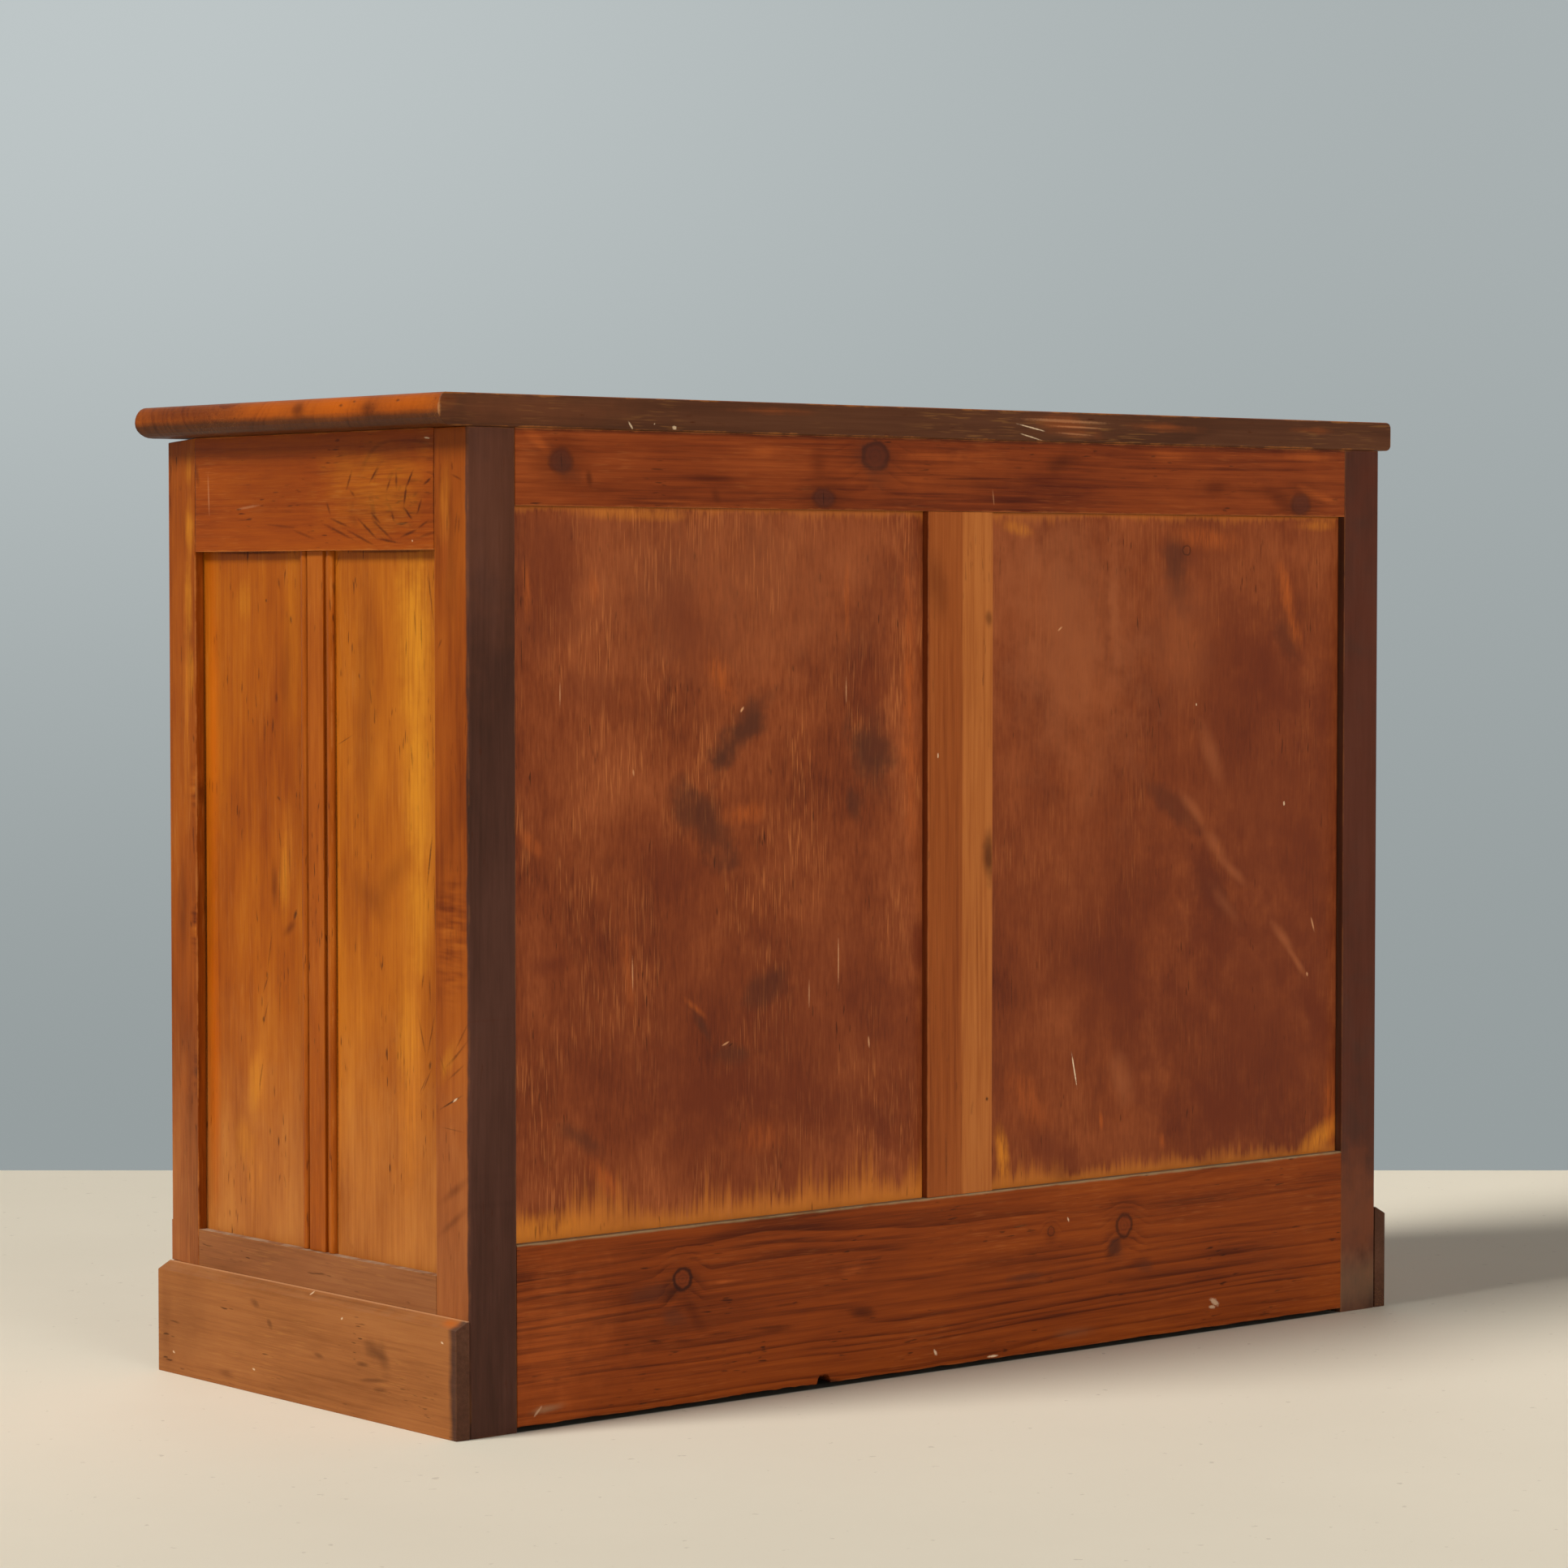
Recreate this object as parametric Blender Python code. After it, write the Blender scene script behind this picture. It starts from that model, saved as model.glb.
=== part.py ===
"""Tambour door cabinet in stained softwood, in metres with +Z up.

The front is -Y, the back is +Y, and right and left are taken facing the front, so right is +X.
Frame-and-panel sides and back stand on a plinth under one board. Behind the front opening two
grooved cheeks carry a slatted curtain, which lifts on its bottom bar and stores over the soffit
and behind the false back.
"""

import math

import bmesh
import bpy

# Body
BODY_WIDTH = 1.200
BODY_DEPTH = 0.500
BODY_HEIGHT = 0.920  # floor to underside of the top
GAP = 0.0003  # between pieces that touch

# Top board
TOP_THICK = 0.030
TOP_PAST_RIGHT = 0.033
TOP_PAST_LEFT = 0.016
TOP_PAST_FRONT = 0.009
TOP_PAST_REAR = 0.002
NOSE_UPPER = 0.008  # how far the nose falls back above its widest line
NOSE_LOWER = 0.013  # and below it
END_ROUND = 0.006
REAR_ROUND = 0.0015
NOSE_STEPS = 6

# Corner posts and front stiles
POST_WIDTH = 0.053
POST_DEPTH = 0.052
POST_ROUND = 0.003
STILE_WIDTH = 0.0475
STILE_FOOT_STEP = 0.0015  # how far the stile's foot stands forward, up to the sill
STILE_TOP_DROP = 0.0035  # how far the stile's top falls away towards the front

# Grooves that hold panels and rail tongues
GROOVE_DEPTH = 0.009

# Side frames
SIDE_THICK = 0.026
SIDE_TOP_RAIL = 0.111
SIDE_BOTTOM_RAIL = 0.084
SIDE_BOTTOM_RAIL_TOP = 0.144
SIDE_RECESS = 0.010  # panel face behind the frame's face
SIDE_PANEL = 0.008
SIDE_MUNTIN = 0.053
SIDE_MUNTIN_PROUD = 0.005  # muntin face in front of the panel face
BEAD_WIDTH = 0.010
QUIRK_WIDTH = 0.0035
QUIRK_DEPTH = 0.003
BEAD_STEPS = 8

# Back frame
BACK_THICK = 0.024
BACK_TOP_RAIL = 0.071
BACK_BOTTOM_RAIL_TOP = 0.173
BACK_FLOOR_GAP = 0.0045
BACK_RECESS = 0.0095
BACK_PANEL = 0.006
BACK_MUNTIN = 0.086
BACK_MUNTIN_PROUD = 0.008

# Plinth
PLINTH_HEIGHT = 0.1085
PLINTH_THICK = 0.0155
PLINTH_BEVEL = 0.0075
PLINTH_FLAT = 0.0015
PLINTH_PROUD = 0.0025  # front board in front of the stiles

# Front rails
HEAD_HEIGHT = 0.111
HEAD_THICK = 0.018
SILL_TOP = 0.149
SILL_DEPTH = 0.045
TENON_THICK = 0.006
TENON_SET = 0.006  # front rail's face to its tenon

# Cheeks and the track in them
CHEEK_THICK = 0.022
CHEEK_DROP = 0.004  # cheek top under the top board
HOUSING_DEPTH = 0.008
TRACK_DEPTH = 0.009
TRACK_PLAY = 0.002
TRACK_RADIUS = 0.055
TRACK_COVER = 0.0085  # wood left over the track
TRACK_REAR_COVER = 0.0125  # wood left behind it
TRACK_TAIL = 0.300  # run down behind the false back
TRACK_FOOT = 0.002  # track under the sill's top
BEND_STEPS = 10

# Inside
BOTTOM_THICK = 0.020
SOFFIT_THICK = 0.012
SOFFIT_CLEAR = 0.004
FALSE_BACK_THICK = 0.008
SHELF_THICK = 0.022
SHELF_RISE = 0.350  # clear height under the shelf
SHELF_SETBACK = 0.008
SHELF_PLAY = 0.001
BEARER = 0.020
BEARER_SETBACK = 0.030

# Tambour
BAR_HEIGHT = 0.050
BAR_THICK = 0.016
BAR_CLEAR = 0.0015  # behind the head rail
BAR_PLAY = 0.001
SLAT_COUNT = 22
SLAT_THICK = 0.009
SLAT_CROWN = 0.0035
SLAT_GAP = 0.0006
SLAT_END_PLAY = 0.0015
SLAT_STEPS = 8
CANVAS_THICK = 0.001
CANVAS_MARGIN = 0.008

# Lift knobs
KNOB_SPACING = 0.600
KNOB_RADIUS = 0.015
KNOB_HEAD = 0.010  # half the length of the round head
KNOB_LENGTH = 0.024
KNOB_COLLAR = 0.011
KNOB_COLLAR_THICK = 0.002
KNOB_NECK = 0.007
KNOB_SPIGOT = 0.005
KNOB_SPIGOT_LENGTH = 0.010
KNOB_SIDES = 20
KNOB_STEPS = 7

# Rotations that lay a prism's length along an axis; the Y one runs towards the front
UPRIGHT = (0.0, 0.0, 0.0)
ALONG_X = (math.pi / 2, 0.0, math.pi / 2)
TO_FRONT = (math.pi / 2, 0.0, 0.0)

# Cutters run this far past what they cut
OVERRUN = 0.020

# Planes that several pieces share, measured from the middle of the body
SIDE_FACE = BODY_WIDTH / 2
BACK_FACE = BODY_DEPTH / 2
FRONT_FACE = -BODY_DEPTH / 2
STILE_REAR = FRONT_FACE + STILE_WIDTH
POST_FRONT = BACK_FACE - POST_DEPTH
POST_INSIDE = SIDE_FACE - POST_WIDTH
PLINTH_FACE = FRONT_FACE - PLINTH_PROUD
CHEEK_OUTSIDE = SIDE_FACE - SIDE_THICK - GAP
CHEEK_INSIDE = CHEEK_OUTSIDE - CHEEK_THICK
CHEEK_TOP = BODY_HEIGHT - CHEEK_DROP
CHEEK_REAR = POST_FRONT - GAP
SILL_FACE = FRONT_FACE - STILE_FOOT_STEP
SILL_REAR = SILL_FACE + SILL_DEPTH
HEAD_BOTTOM = BODY_HEIGHT - HEAD_HEIGHT

# Centre lines of the track: up the front, along the top, down the rear
TRACK_WIDTH = SLAT_THICK + TRACK_PLAY
TRACK_FRONT = FRONT_FACE + HEAD_THICK + BAR_CLEAR + BAR_THICK / 2
TRACK_TOP = CHEEK_TOP - TRACK_COVER - TRACK_WIDTH / 2
TRACK_REAR = CHEEK_REAR - TRACK_REAR_COVER - TRACK_WIDTH / 2
BEND_LEVEL = TRACK_TOP - TRACK_RADIUS
BEND_FRONT = TRACK_FRONT + TRACK_RADIUS
BEND_REAR = TRACK_REAR - TRACK_RADIUS

# Levels inside and along the curtain
SOFFIT_TOP = TRACK_TOP - TRACK_WIDTH / 2 - SOFFIT_CLEAR
SOFFIT_BOTTOM = SOFFIT_TOP - SOFFIT_THICK
FALSE_BACK_FRONT = BEND_REAR - FALSE_BACK_THICK
BAR_BOTTOM = SILL_TOP + GAP
BAR_TOP = BAR_BOTTOM + BAR_HEIGHT
SLAT_PITCH = (BEND_LEVEL - BAR_TOP) / SLAT_COUNT
SLAT_REACH = CHEEK_INSIDE + TRACK_DEPTH - SLAT_END_PLAY


def clear_scene():
    for thing in list(bpy.data.objects):
        bpy.data.objects.remove(thing)


def finish(name, colour, roughness, metallic=0.0):
    material = bpy.data.materials.new(name)
    material.use_nodes = True
    shader = material.node_tree.nodes["Principled BSDF"]
    shader.inputs["Base Color"].default_value = (*colour, 1.0)
    shader.inputs["Roughness"].default_value = roughness
    shader.inputs["Metallic"].default_value = metallic
    return material


def empty(name, parent=None, location=(0, 0, 0), rotation=UPRIGHT):
    marker = bpy.data.objects.new(name, None)
    bpy.context.scene.collection.objects.link(marker)
    marker.parent = parent
    marker.location = location
    marker.rotation_euler = rotation
    return marker


def loft(name, loops, coat, parent, location=(0, 0, 0), rotation=UPRIGHT, smooth=False):
    """A closed skin over loops of equally many points, with a flat cap at each end."""
    shape = bmesh.new()
    rings = [[shape.verts.new(point) for point in loop] for loop in loops]
    shape.faces.new(rings[0])
    shape.faces.new(rings[-1])
    for lower, upper in zip(rings, rings[1:]):
        for i in range(len(lower)):
            j = (i + 1) % len(lower)
            shape.faces.new((lower[i], lower[j], upper[j], upper[i]))
    bmesh.ops.recalc_face_normals(shape, faces=shape.faces)
    mesh = bpy.data.meshes.new(name)
    shape.to_mesh(mesh)
    shape.free()
    if coat:
        mesh.materials.append(coat)
    if smooth:
        mesh.shade_smooth()
        mesh.set_sharp_from_angle(angle=math.radians(35))
    piece = bpy.data.objects.new(name, mesh)
    bpy.context.scene.collection.objects.link(piece)
    piece.parent = parent
    piece.location = location
    piece.rotation_euler = rotation
    return piece


def prism(name, outline, length, coat, parent, location=(0, 0, 0), rotation=UPRIGHT, smooth=False):
    loops = [[(x, y, z) for x, y in outline] for z in (0.0, length)]
    return loft(name, loops, coat, parent, location, rotation, smooth)


def board(name, low, high, coat, parent):
    """A square-edged board between two corners, with its origin in its middle."""
    middle = [(a + b) / 2 for a, b in zip(low, high)]
    x, y, z = [(b - a) / 2 for a, b in zip(low, high)]
    plan = [(-x, -y), (x, -y), (x, y), (-x, y)]
    loops = [[(*corner, level) for corner in plan] for level in (-z, z)]
    return loft(name, loops, coat, parent, middle)


def change(piece, tool, operation):
    tool.hide_render = True
    tool.display_type = "WIRE"
    modifier = piece.modifiers.new(tool.name, "BOOLEAN")
    modifier.operation = operation
    modifier.solver = "EXACT"
    modifier.object = tool


def cut(piece, tool):
    change(piece, tool, "DIFFERENCE")


def arc(centre, radius, start, end, steps):
    """Points on an arc, or on part of an ellipse when radius is a pair; angles in degrees."""
    across, up = radius if isinstance(radius, tuple) else (radius, radius)
    angles = [math.radians(start + (end - start) * i / steps) for i in range(steps + 1)]
    return [(centre[0] + across * math.cos(a), centre[1] + up * math.sin(a)) for a in angles]


def tongued(start, end, thick, tongue_near, tongue_far, tongue_length):
    """Plan of a rail from shoulder to shoulder, with a tongue on each end."""
    return [
        (start, 0.0), (end, 0.0), (end, tongue_near), (end + tongue_length, tongue_near),
        (end + tongue_length, tongue_far), (end, tongue_far), (end, thick), (start, thick),
        (start, tongue_far), (start - tongue_length, tongue_far),
        (start - tongue_length, tongue_near), (start, tongue_near),
    ]


def mirrored(outline, side):
    return [(side * x, y) for x, y in outline]


# Top

def top_board(coat, parent):
    """The board as a stack of rectangles, each drawn in by the roundings of its four edges."""

    def nose(level):
        rise = 2 * level / TOP_THICK - 1
        fall = NOSE_UPPER if rise > 0 else NOSE_LOWER
        return fall * (1 - math.sqrt(max(0.0, 1 - rise * rise)))

    def rounding(level, radius):
        into = radius - min(level, TOP_THICK - level, radius)
        return radius - math.sqrt(max(0.0, radius * radius - into * into))

    steps = range(-NOSE_STEPS, NOSE_STEPS + 1)
    levels = [TOP_THICK / 2 * (1 + math.sin(math.pi / 2 * i / NOSE_STEPS)) for i in steps]
    loops = []
    for level in levels:
        right = SIDE_FACE + TOP_PAST_RIGHT - nose(level)
        left = -SIDE_FACE - TOP_PAST_LEFT + rounding(level, END_ROUND)
        front = FRONT_FACE - TOP_PAST_FRONT + nose(level)
        rear = BACK_FACE + TOP_PAST_REAR - rounding(level, REAR_ROUND)
        corners = ((left, front), (right, front), (right, rear), (left, rear))
        loops.append([(*corner, level) for corner in corners])
    return loft("top", loops, coat, parent, (0, 0, BODY_HEIGHT), smooth=True)


# Posts and stiles

def rear_post(name, side, coat, parent):
    side_near, side_far = SIDE_RECESS - GAP, SIDE_RECESS + SIDE_PANEL + GAP
    back_near, back_far = BACK_RECESS - GAP, BACK_RECESS + BACK_PANEL + GAP
    plan = arc((POST_ROUND, POST_ROUND), POST_ROUND, 270, 180, 3) + [
        (0.0, POST_DEPTH), (side_near, POST_DEPTH), (side_near, POST_DEPTH - GROOVE_DEPTH),
        (side_far, POST_DEPTH - GROOVE_DEPTH), (side_far, POST_DEPTH), (POST_WIDTH, POST_DEPTH),
        (POST_WIDTH, back_far), (POST_WIDTH - GROOVE_DEPTH, back_far),
        (POST_WIDTH - GROOVE_DEPTH, back_near), (POST_WIDTH, back_near), (POST_WIDTH, 0.0),
    ]
    plan = [(-side * inward, -forward) for inward, forward in plan]
    return prism(name, plan, BODY_HEIGHT - GAP, coat, parent, (side * SIDE_FACE, BACK_FACE, 0))


def front_stile(name, side, coat, parent):
    foot = PLINTH_FACE + PLINTH_THICK + GAP
    elevation = [
        (foot, 0.0), (STILE_REAR, 0.0), (STILE_REAR, BODY_HEIGHT - GAP),
        (FRONT_FACE, BODY_HEIGHT - STILE_TOP_DROP), (FRONT_FACE, SILL_TOP), (SILL_FACE, SILL_TOP),
        (SILL_FACE, PLINTH_HEIGHT + GAP), (foot, PLINTH_HEIGHT + GAP),
    ]
    start = SIDE_FACE - SIDE_THICK if side > 0 else -SIDE_FACE
    piece = prism(name, elevation, SIDE_THICK, coat, parent, (start, 0, 0), ALONG_X)
    groove = sorted(side * (SIDE_FACE - SIDE_RECESS - depth) for depth in (-GAP, SIDE_PANEL + GAP))
    low = (groove[0], STILE_REAR - GROOVE_DEPTH, -OVERRUN)
    high = (groove[1], STILE_REAR + OVERRUN, BODY_HEIGHT + OVERRUN)
    cut(piece, board(name + "_groove", low, high, None, parent))
    return piece


# Frame-and-panel work
# In a frame's own axes, x runs along it, y runs inwards from its face and z is up.

def frame_rail(name, frame, opening, low, high, groove_on_top, coat, seat):
    near, far = frame["recess"], frame["recess"] + frame["panel"]
    start, end = opening[0] + GAP, opening[1] - GAP
    plan = tongued(start, end, frame["thick"], near, far, GROOVE_DEPTH)
    piece = prism(name, plan, high - low, coat, seat, (0, 0, low))
    if groove_on_top:
        floor, ceiling = high - GROOVE_DEPTH, high + OVERRUN
    else:
        floor, ceiling = low - OVERRUN, low + GROOVE_DEPTH
    corner = (start - GROOVE_DEPTH - OVERRUN, near - GAP, floor)
    other = (end + GROOVE_DEPTH + OVERRUN, far + GAP, ceiling)
    cut(piece, board(name + "_groove", corner, other, None, seat))
    return piece


def beaded_edge(edge, face):
    """Half of a muntin's face, from its edge to the flat: a bead and the quirk beside it."""
    crown = (BEAD_WIDTH / 2, QUIRK_DEPTH)
    bead = arc((edge + BEAD_WIDTH / 2, face + QUIRK_DEPTH), crown, 180, 360, BEAD_STEPS)
    inner = edge + BEAD_WIDTH + QUIRK_WIDTH
    return bead + [(inner, face + QUIRK_DEPTH), (inner, face)]


def frame_muntin(name, frame, centre, low, high, coat, seat):
    near, far = frame["recess"], frame["recess"] + frame["panel"]
    half, face = frame["muntin"] / 2, near - frame["muntin_proud"]
    left_face = beaded_edge(-half, face) if frame["beaded"] else [(-half, face)]
    right_face = [(-x, y) for x, y in reversed(left_face)]
    right_edge = [
        (half, near - GAP), (half - GROOVE_DEPTH, near - GAP),
        (half - GROOVE_DEPTH, far + GAP), (half, far + GAP), (half, frame["thick"]),
    ]
    left_edge = [(-x, y) for x, y in reversed(right_edge)]
    plan = left_face + right_face + right_edge + left_edge
    piece = prism(name, plan, high - low - 2 * GAP, coat, seat, (centre, 0, low + GAP))
    core = half - GROOVE_DEPTH - 4 * GAP
    reach = GROOVE_DEPTH - GAP
    corner, other = (centre - core, near, low - reach), (centre + core, far, high + reach)
    change(piece, board(name + "_tenons", corner, other, None, seat), "UNION")
    return piece


def frame_and_panels(names, frame, opening, seat, coats):
    """Two rails, a muntin between them and a panel on each side of it, grooved together."""
    top_rail, bottom_rail, muntin, low_panel, high_panel = names
    bottom_low, bottom_high = frame["bottom"]
    top_low, top_high = frame["top"]
    frame_rail(top_rail, frame, opening, top_low, top_high, False, coats["rail"], seat)
    frame_rail(bottom_rail, frame, opening, bottom_low, bottom_high, True, coats["low_rail"], seat)
    centre = (opening[0] + opening[1]) / 2
    frame_muntin(muntin, frame, centre, bottom_high, top_low, coats["muntin"], seat)
    reach = GROOVE_DEPTH - GAP
    near, far = frame["recess"], frame["recess"] + frame["panel"]
    half = frame["muntin"] / 2
    for name, start, end in (
        (low_panel, opening[0], centre - half),
        (high_panel, centre + half, opening[1]),
    ):
        low = (start - reach, near, bottom_high - reach)
        high = (end + reach, far, top_low + reach)
        board(name, low, high, coats["panel"], seat)


def side_frame(side, carcass, coats):
    hand = "right" if side > 0 else "left"
    seat = empty(f"side_frame_{hand}", carcass, (side * SIDE_FACE, 0, 0), (0, 0, side * math.pi / 2))
    frame = {
        "thick": SIDE_THICK, "recess": SIDE_RECESS, "panel": SIDE_PANEL, "muntin": SIDE_MUNTIN,
        "muntin_proud": SIDE_MUNTIN_PROUD, "beaded": True,
        "bottom": (SIDE_BOTTOM_RAIL_TOP - SIDE_BOTTOM_RAIL, SIDE_BOTTOM_RAIL_TOP),
        "top": (BODY_HEIGHT - SIDE_TOP_RAIL, BODY_HEIGHT - GAP),
    }
    opening = sorted((side * STILE_REAR, side * POST_FRONT))
    panels = [f"side_panel_{place}_{hand}" for place in ("front", "rear")[::side]]
    names = [f"side_{piece}_{hand}" for piece in ("top_rail", "bottom_rail", "muntin")] + panels
    frame_and_panels(names, frame, opening, seat, coats)


def back_frame(carcass, coats):
    seat = empty("back_frame", carcass, (0, BACK_FACE, 0), (0, 0, math.pi))
    frame = {
        "thick": BACK_THICK, "recess": BACK_RECESS, "panel": BACK_PANEL, "muntin": BACK_MUNTIN,
        "muntin_proud": BACK_MUNTIN_PROUD, "beaded": False,
        "bottom": (BACK_FLOOR_GAP, BACK_BOTTOM_RAIL_TOP),
        "top": (BODY_HEIGHT - BACK_TOP_RAIL, BODY_HEIGHT - GAP),
    }
    names = ("back_top_rail", "back_bottom_rail", "back_muntin", "back_panel_right", "back_panel_left")
    frame_and_panels(names, frame, (-POST_INSIDE, POST_INSIDE), seat, coats)


# Plinth

def plinth(carcass, coat):
    bevelled = [
        (0.0, 0.0), (PLINTH_THICK, 0.0), (PLINTH_THICK, PLINTH_HEIGHT - PLINTH_BEVEL),
        (PLINTH_FLAT, PLINTH_HEIGHT), (0.0, PLINTH_HEIGHT),
    ]
    for side, hand in ((1, "right"), (-1, "left")):
        place = (side * (SIDE_FACE + GAP), BACK_FACE, 0)
        section = mirrored(bevelled, side)
        prism(f"plinth_{hand}", section, BACK_FACE - PLINTH_FACE, coat, carcass, place, TO_FRONT)
    section = [
        (PLINTH_FACE, 0.0), (PLINTH_FACE + PLINTH_THICK, 0.0), (PLINTH_FACE + PLINTH_THICK, PLINTH_HEIGHT),
        (FRONT_FACE, PLINTH_HEIGHT), (PLINTH_FACE, PLINTH_HEIGHT - PLINTH_PROUD),
    ]
    prism("plinth_front", section, BODY_WIDTH, coat, carcass, (-SIDE_FACE, 0, 0), ALONG_X)


# Front rails

def front_rails(carcass, coat):
    shoulder = CHEEK_INSIDE - GAP
    for name, face, thick, low, high in (
        ("head_rail", FRONT_FACE, HEAD_THICK, HEAD_BOTTOM, BODY_HEIGHT - GAP),
        ("sill", SILL_FACE, SILL_DEPTH, PLINTH_HEIGHT + GAP, SILL_TOP),
    ):
        plan = tongued(-shoulder, shoulder, thick, TENON_SET, TENON_SET + TENON_THICK, HOUSING_DEPTH)
        prism(name, plan, high - low, coat, carcass, (0, face, low))


# Cheeks

def track_outline():
    """Side view of the groove: up the front, over two bends and down the rear, and back inside."""
    half = TRACK_WIDTH / 2
    front, rear = (BEND_FRONT, BEND_LEVEL), (BEND_REAR, BEND_LEVEL)
    outer, inner = TRACK_RADIUS + half, TRACK_RADIUS - half
    foot, tail = SILL_TOP - TRACK_FOOT, BEND_LEVEL - TRACK_TAIL
    return (
        [(TRACK_FRONT - half, foot)]
        + arc(front, outer, 180, 90, BEND_STEPS)
        + arc(rear, outer, 90, 0, BEND_STEPS)
        + [(TRACK_REAR + half, tail), (TRACK_REAR - half, tail)]
        + arc(rear, inner, 0, 90, BEND_STEPS)
        + arc(front, inner, 90, 180, BEND_STEPS)
        + [(TRACK_FRONT + half, foot)]
    )


def track_cheek(name, side, coat, carcass):
    inside, outside = side * CHEEK_INSIDE, side * CHEEK_OUTSIDE
    low = (min(inside, outside), FRONT_FACE, PLINTH_HEIGHT + GAP)
    high = (max(inside, outside), CHEEK_REAR, CHEEK_TOP)
    piece = board(name, low, high, coat, carcass)

    def across(depth):
        ends = (side * (CHEEK_INSIDE - OVERRUN), side * (CHEEK_INSIDE + depth))
        return min(ends), max(ends)

    start, end = across(TRACK_DEPTH)
    track = prism(name + "_track", track_outline(), end - start, None, carcass, (start, 0, 0), ALONG_X)
    cut(piece, track)

    start, end = across(HOUSING_DEPTH)
    head, sill = FRONT_FACE + TENON_SET, SILL_FACE + TENON_SET
    for housing, y_range, z_range in (
        ("head", (head - GAP, head + TENON_THICK + GAP), (HEAD_BOTTOM - GAP, BODY_HEIGHT)),
        ("sill", (sill - GAP, sill + TENON_THICK + GAP), (PLINTH_HEIGHT - OVERRUN, SILL_TOP + GAP)),
        ("bottom", (SILL_REAR, CHEEK_REAR + OVERRUN), (SILL_TOP - BOTTOM_THICK - GAP, SILL_TOP + GAP)),
        ("soffit", (BEND_FRONT - GAP, BEND_REAR + GAP), (SOFFIT_BOTTOM - GAP, SOFFIT_TOP + GAP)),
    ):
        corner, other = (start, y_range[0], z_range[0]), (end, y_range[1], z_range[1])
        cut(piece, board(f"{name}_{housing}_housing", corner, other, None, carcass))
    return piece


# Inside

def inside_boards(carcass, coats):
    housed = CHEEK_INSIDE + HOUSING_DEPTH - GAP
    low = (-housed, SILL_REAR + GAP, SILL_TOP - BOTTOM_THICK)
    board("bottom_board", low, (housed, CHEEK_REAR, SILL_TOP), coats["inside"], carcass)
    low = (-housed, BEND_FRONT, SOFFIT_BOTTOM)
    board("soffit", low, (housed, BEND_REAR, SOFFIT_TOP), coats["inside"], carcass)
    between = CHEEK_INSIDE - GAP
    low = (-between, FALSE_BACK_FRONT, SILL_TOP + GAP)
    board("false_back", low, (between, BEND_REAR, SOFFIT_BOTTOM - GAP), coats["panel"], carcass)

    seat = SILL_TOP + SHELF_RISE
    front = TRACK_FRONT + BAR_THICK / 2 + SHELF_SETBACK
    rear = FALSE_BACK_FRONT - SHELF_PLAY
    width = CHEEK_INSIDE - SHELF_PLAY
    board("shelf", (-width, front, seat), (width, rear, seat + SHELF_THICK), coats["inside"], carcass)
    for side, hand in ((1, "right"), (-1, "left")):
        edges = sorted((side * between, side * (between - BEARER)))
        low = (edges[0], front + BEARER_SETBACK, seat - GAP - BEARER)
        board(f"shelf_bearer_{hand}", low, (edges[1], rear, seat - GAP), coats["inside"], carcass)


# Tambour
# Its pieces hang from an empty on the line that the bar lifts along, at the sill.

def circle(radius, level):
    turns = [2 * math.pi * i / KNOB_SIDES for i in range(KNOB_SIDES)]
    return [(radius * math.cos(a), radius * math.sin(a), level) for a in turns]


def lift_knob(name, place, coat, lift):
    """A turned knob: spigot, collar, hollow neck and round head, from the bar outwards."""
    crown = arc((0.0, KNOB_LENGTH - KNOB_HEAD), (KNOB_RADIUS, KNOB_HEAD), -50, 80, KNOB_STEPS)
    collar = GAP + KNOB_COLLAR_THICK
    neck = (collar + crown[0][1]) / 2
    profile = [
        (KNOB_SPIGOT, -KNOB_SPIGOT_LENGTH), (KNOB_SPIGOT, GAP), (KNOB_COLLAR, GAP),
        (KNOB_COLLAR, collar), (KNOB_NECK, neck),
    ] + crown
    loops = [circle(radius, level) for radius, level in profile]
    return loft(name, loops, coat, lift, place, TO_FRONT, smooth=True)


def lift_bar(lift, coats):
    end = CHEEK_INSIDE - BAR_PLAY
    near = (BAR_THICK - SLAT_THICK) / 2
    plan = tongued(-end, end, BAR_THICK, near, near + SLAT_THICK, SLAT_REACH - end)
    foot = BAR_BOTTOM - SILL_TOP
    bar = prism("lift_bar", plan, BAR_HEIGHT, coats["bar"], lift, (0, -BAR_THICK / 2, foot))
    for side, hand in ((1, "right"), (-1, "left")):
        place = (side * KNOB_SPACING / 2, -BAR_THICK / 2, foot + BAR_HEIGHT / 2)
        levels = (-KNOB_SPIGOT_LENGTH - GAP, OVERRUN)
        loops = [circle(KNOB_SPIGOT + GAP, level) for level in levels]
        cut(bar, loft(f"lift_bar_hole_{hand}", loops, None, lift, place, TO_FRONT))
        lift_knob(f"lift_knob_{hand}", place, coats["knob"], lift)


def curtain(lift, coats):
    height = SLAT_PITCH - SLAT_GAP
    steps = [i / SLAT_STEPS for i in range(SLAT_STEPS + 1)]
    crowned = [(SLAT_CROWN * (2 * t - 1) ** 2 - SLAT_THICK / 2, height * t) for t in steps]
    section = crowned + [(SLAT_THICK / 2, height), (SLAT_THICK / 2, 0.0)]
    first = BAR_TOP - SILL_TOP + SLAT_GAP
    for i in range(SLAT_COUNT):
        place = (-SLAT_REACH, 0, first + i * SLAT_PITCH)
        prism(f"slat_{i + 1:02d}", section, 2 * SLAT_REACH, coats["slat"], lift, place, ALONG_X, True)
    width = CHEEK_INSIDE - CANVAS_MARGIN
    glued = SLAT_THICK / 2 + GAP
    top = BEND_LEVEL - SILL_TOP
    low, high = (-width, glued, first), (width, glued + CANVAS_THICK, top)
    board("tambour_canvas", low, high, coats["canvas"], lift)


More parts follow.
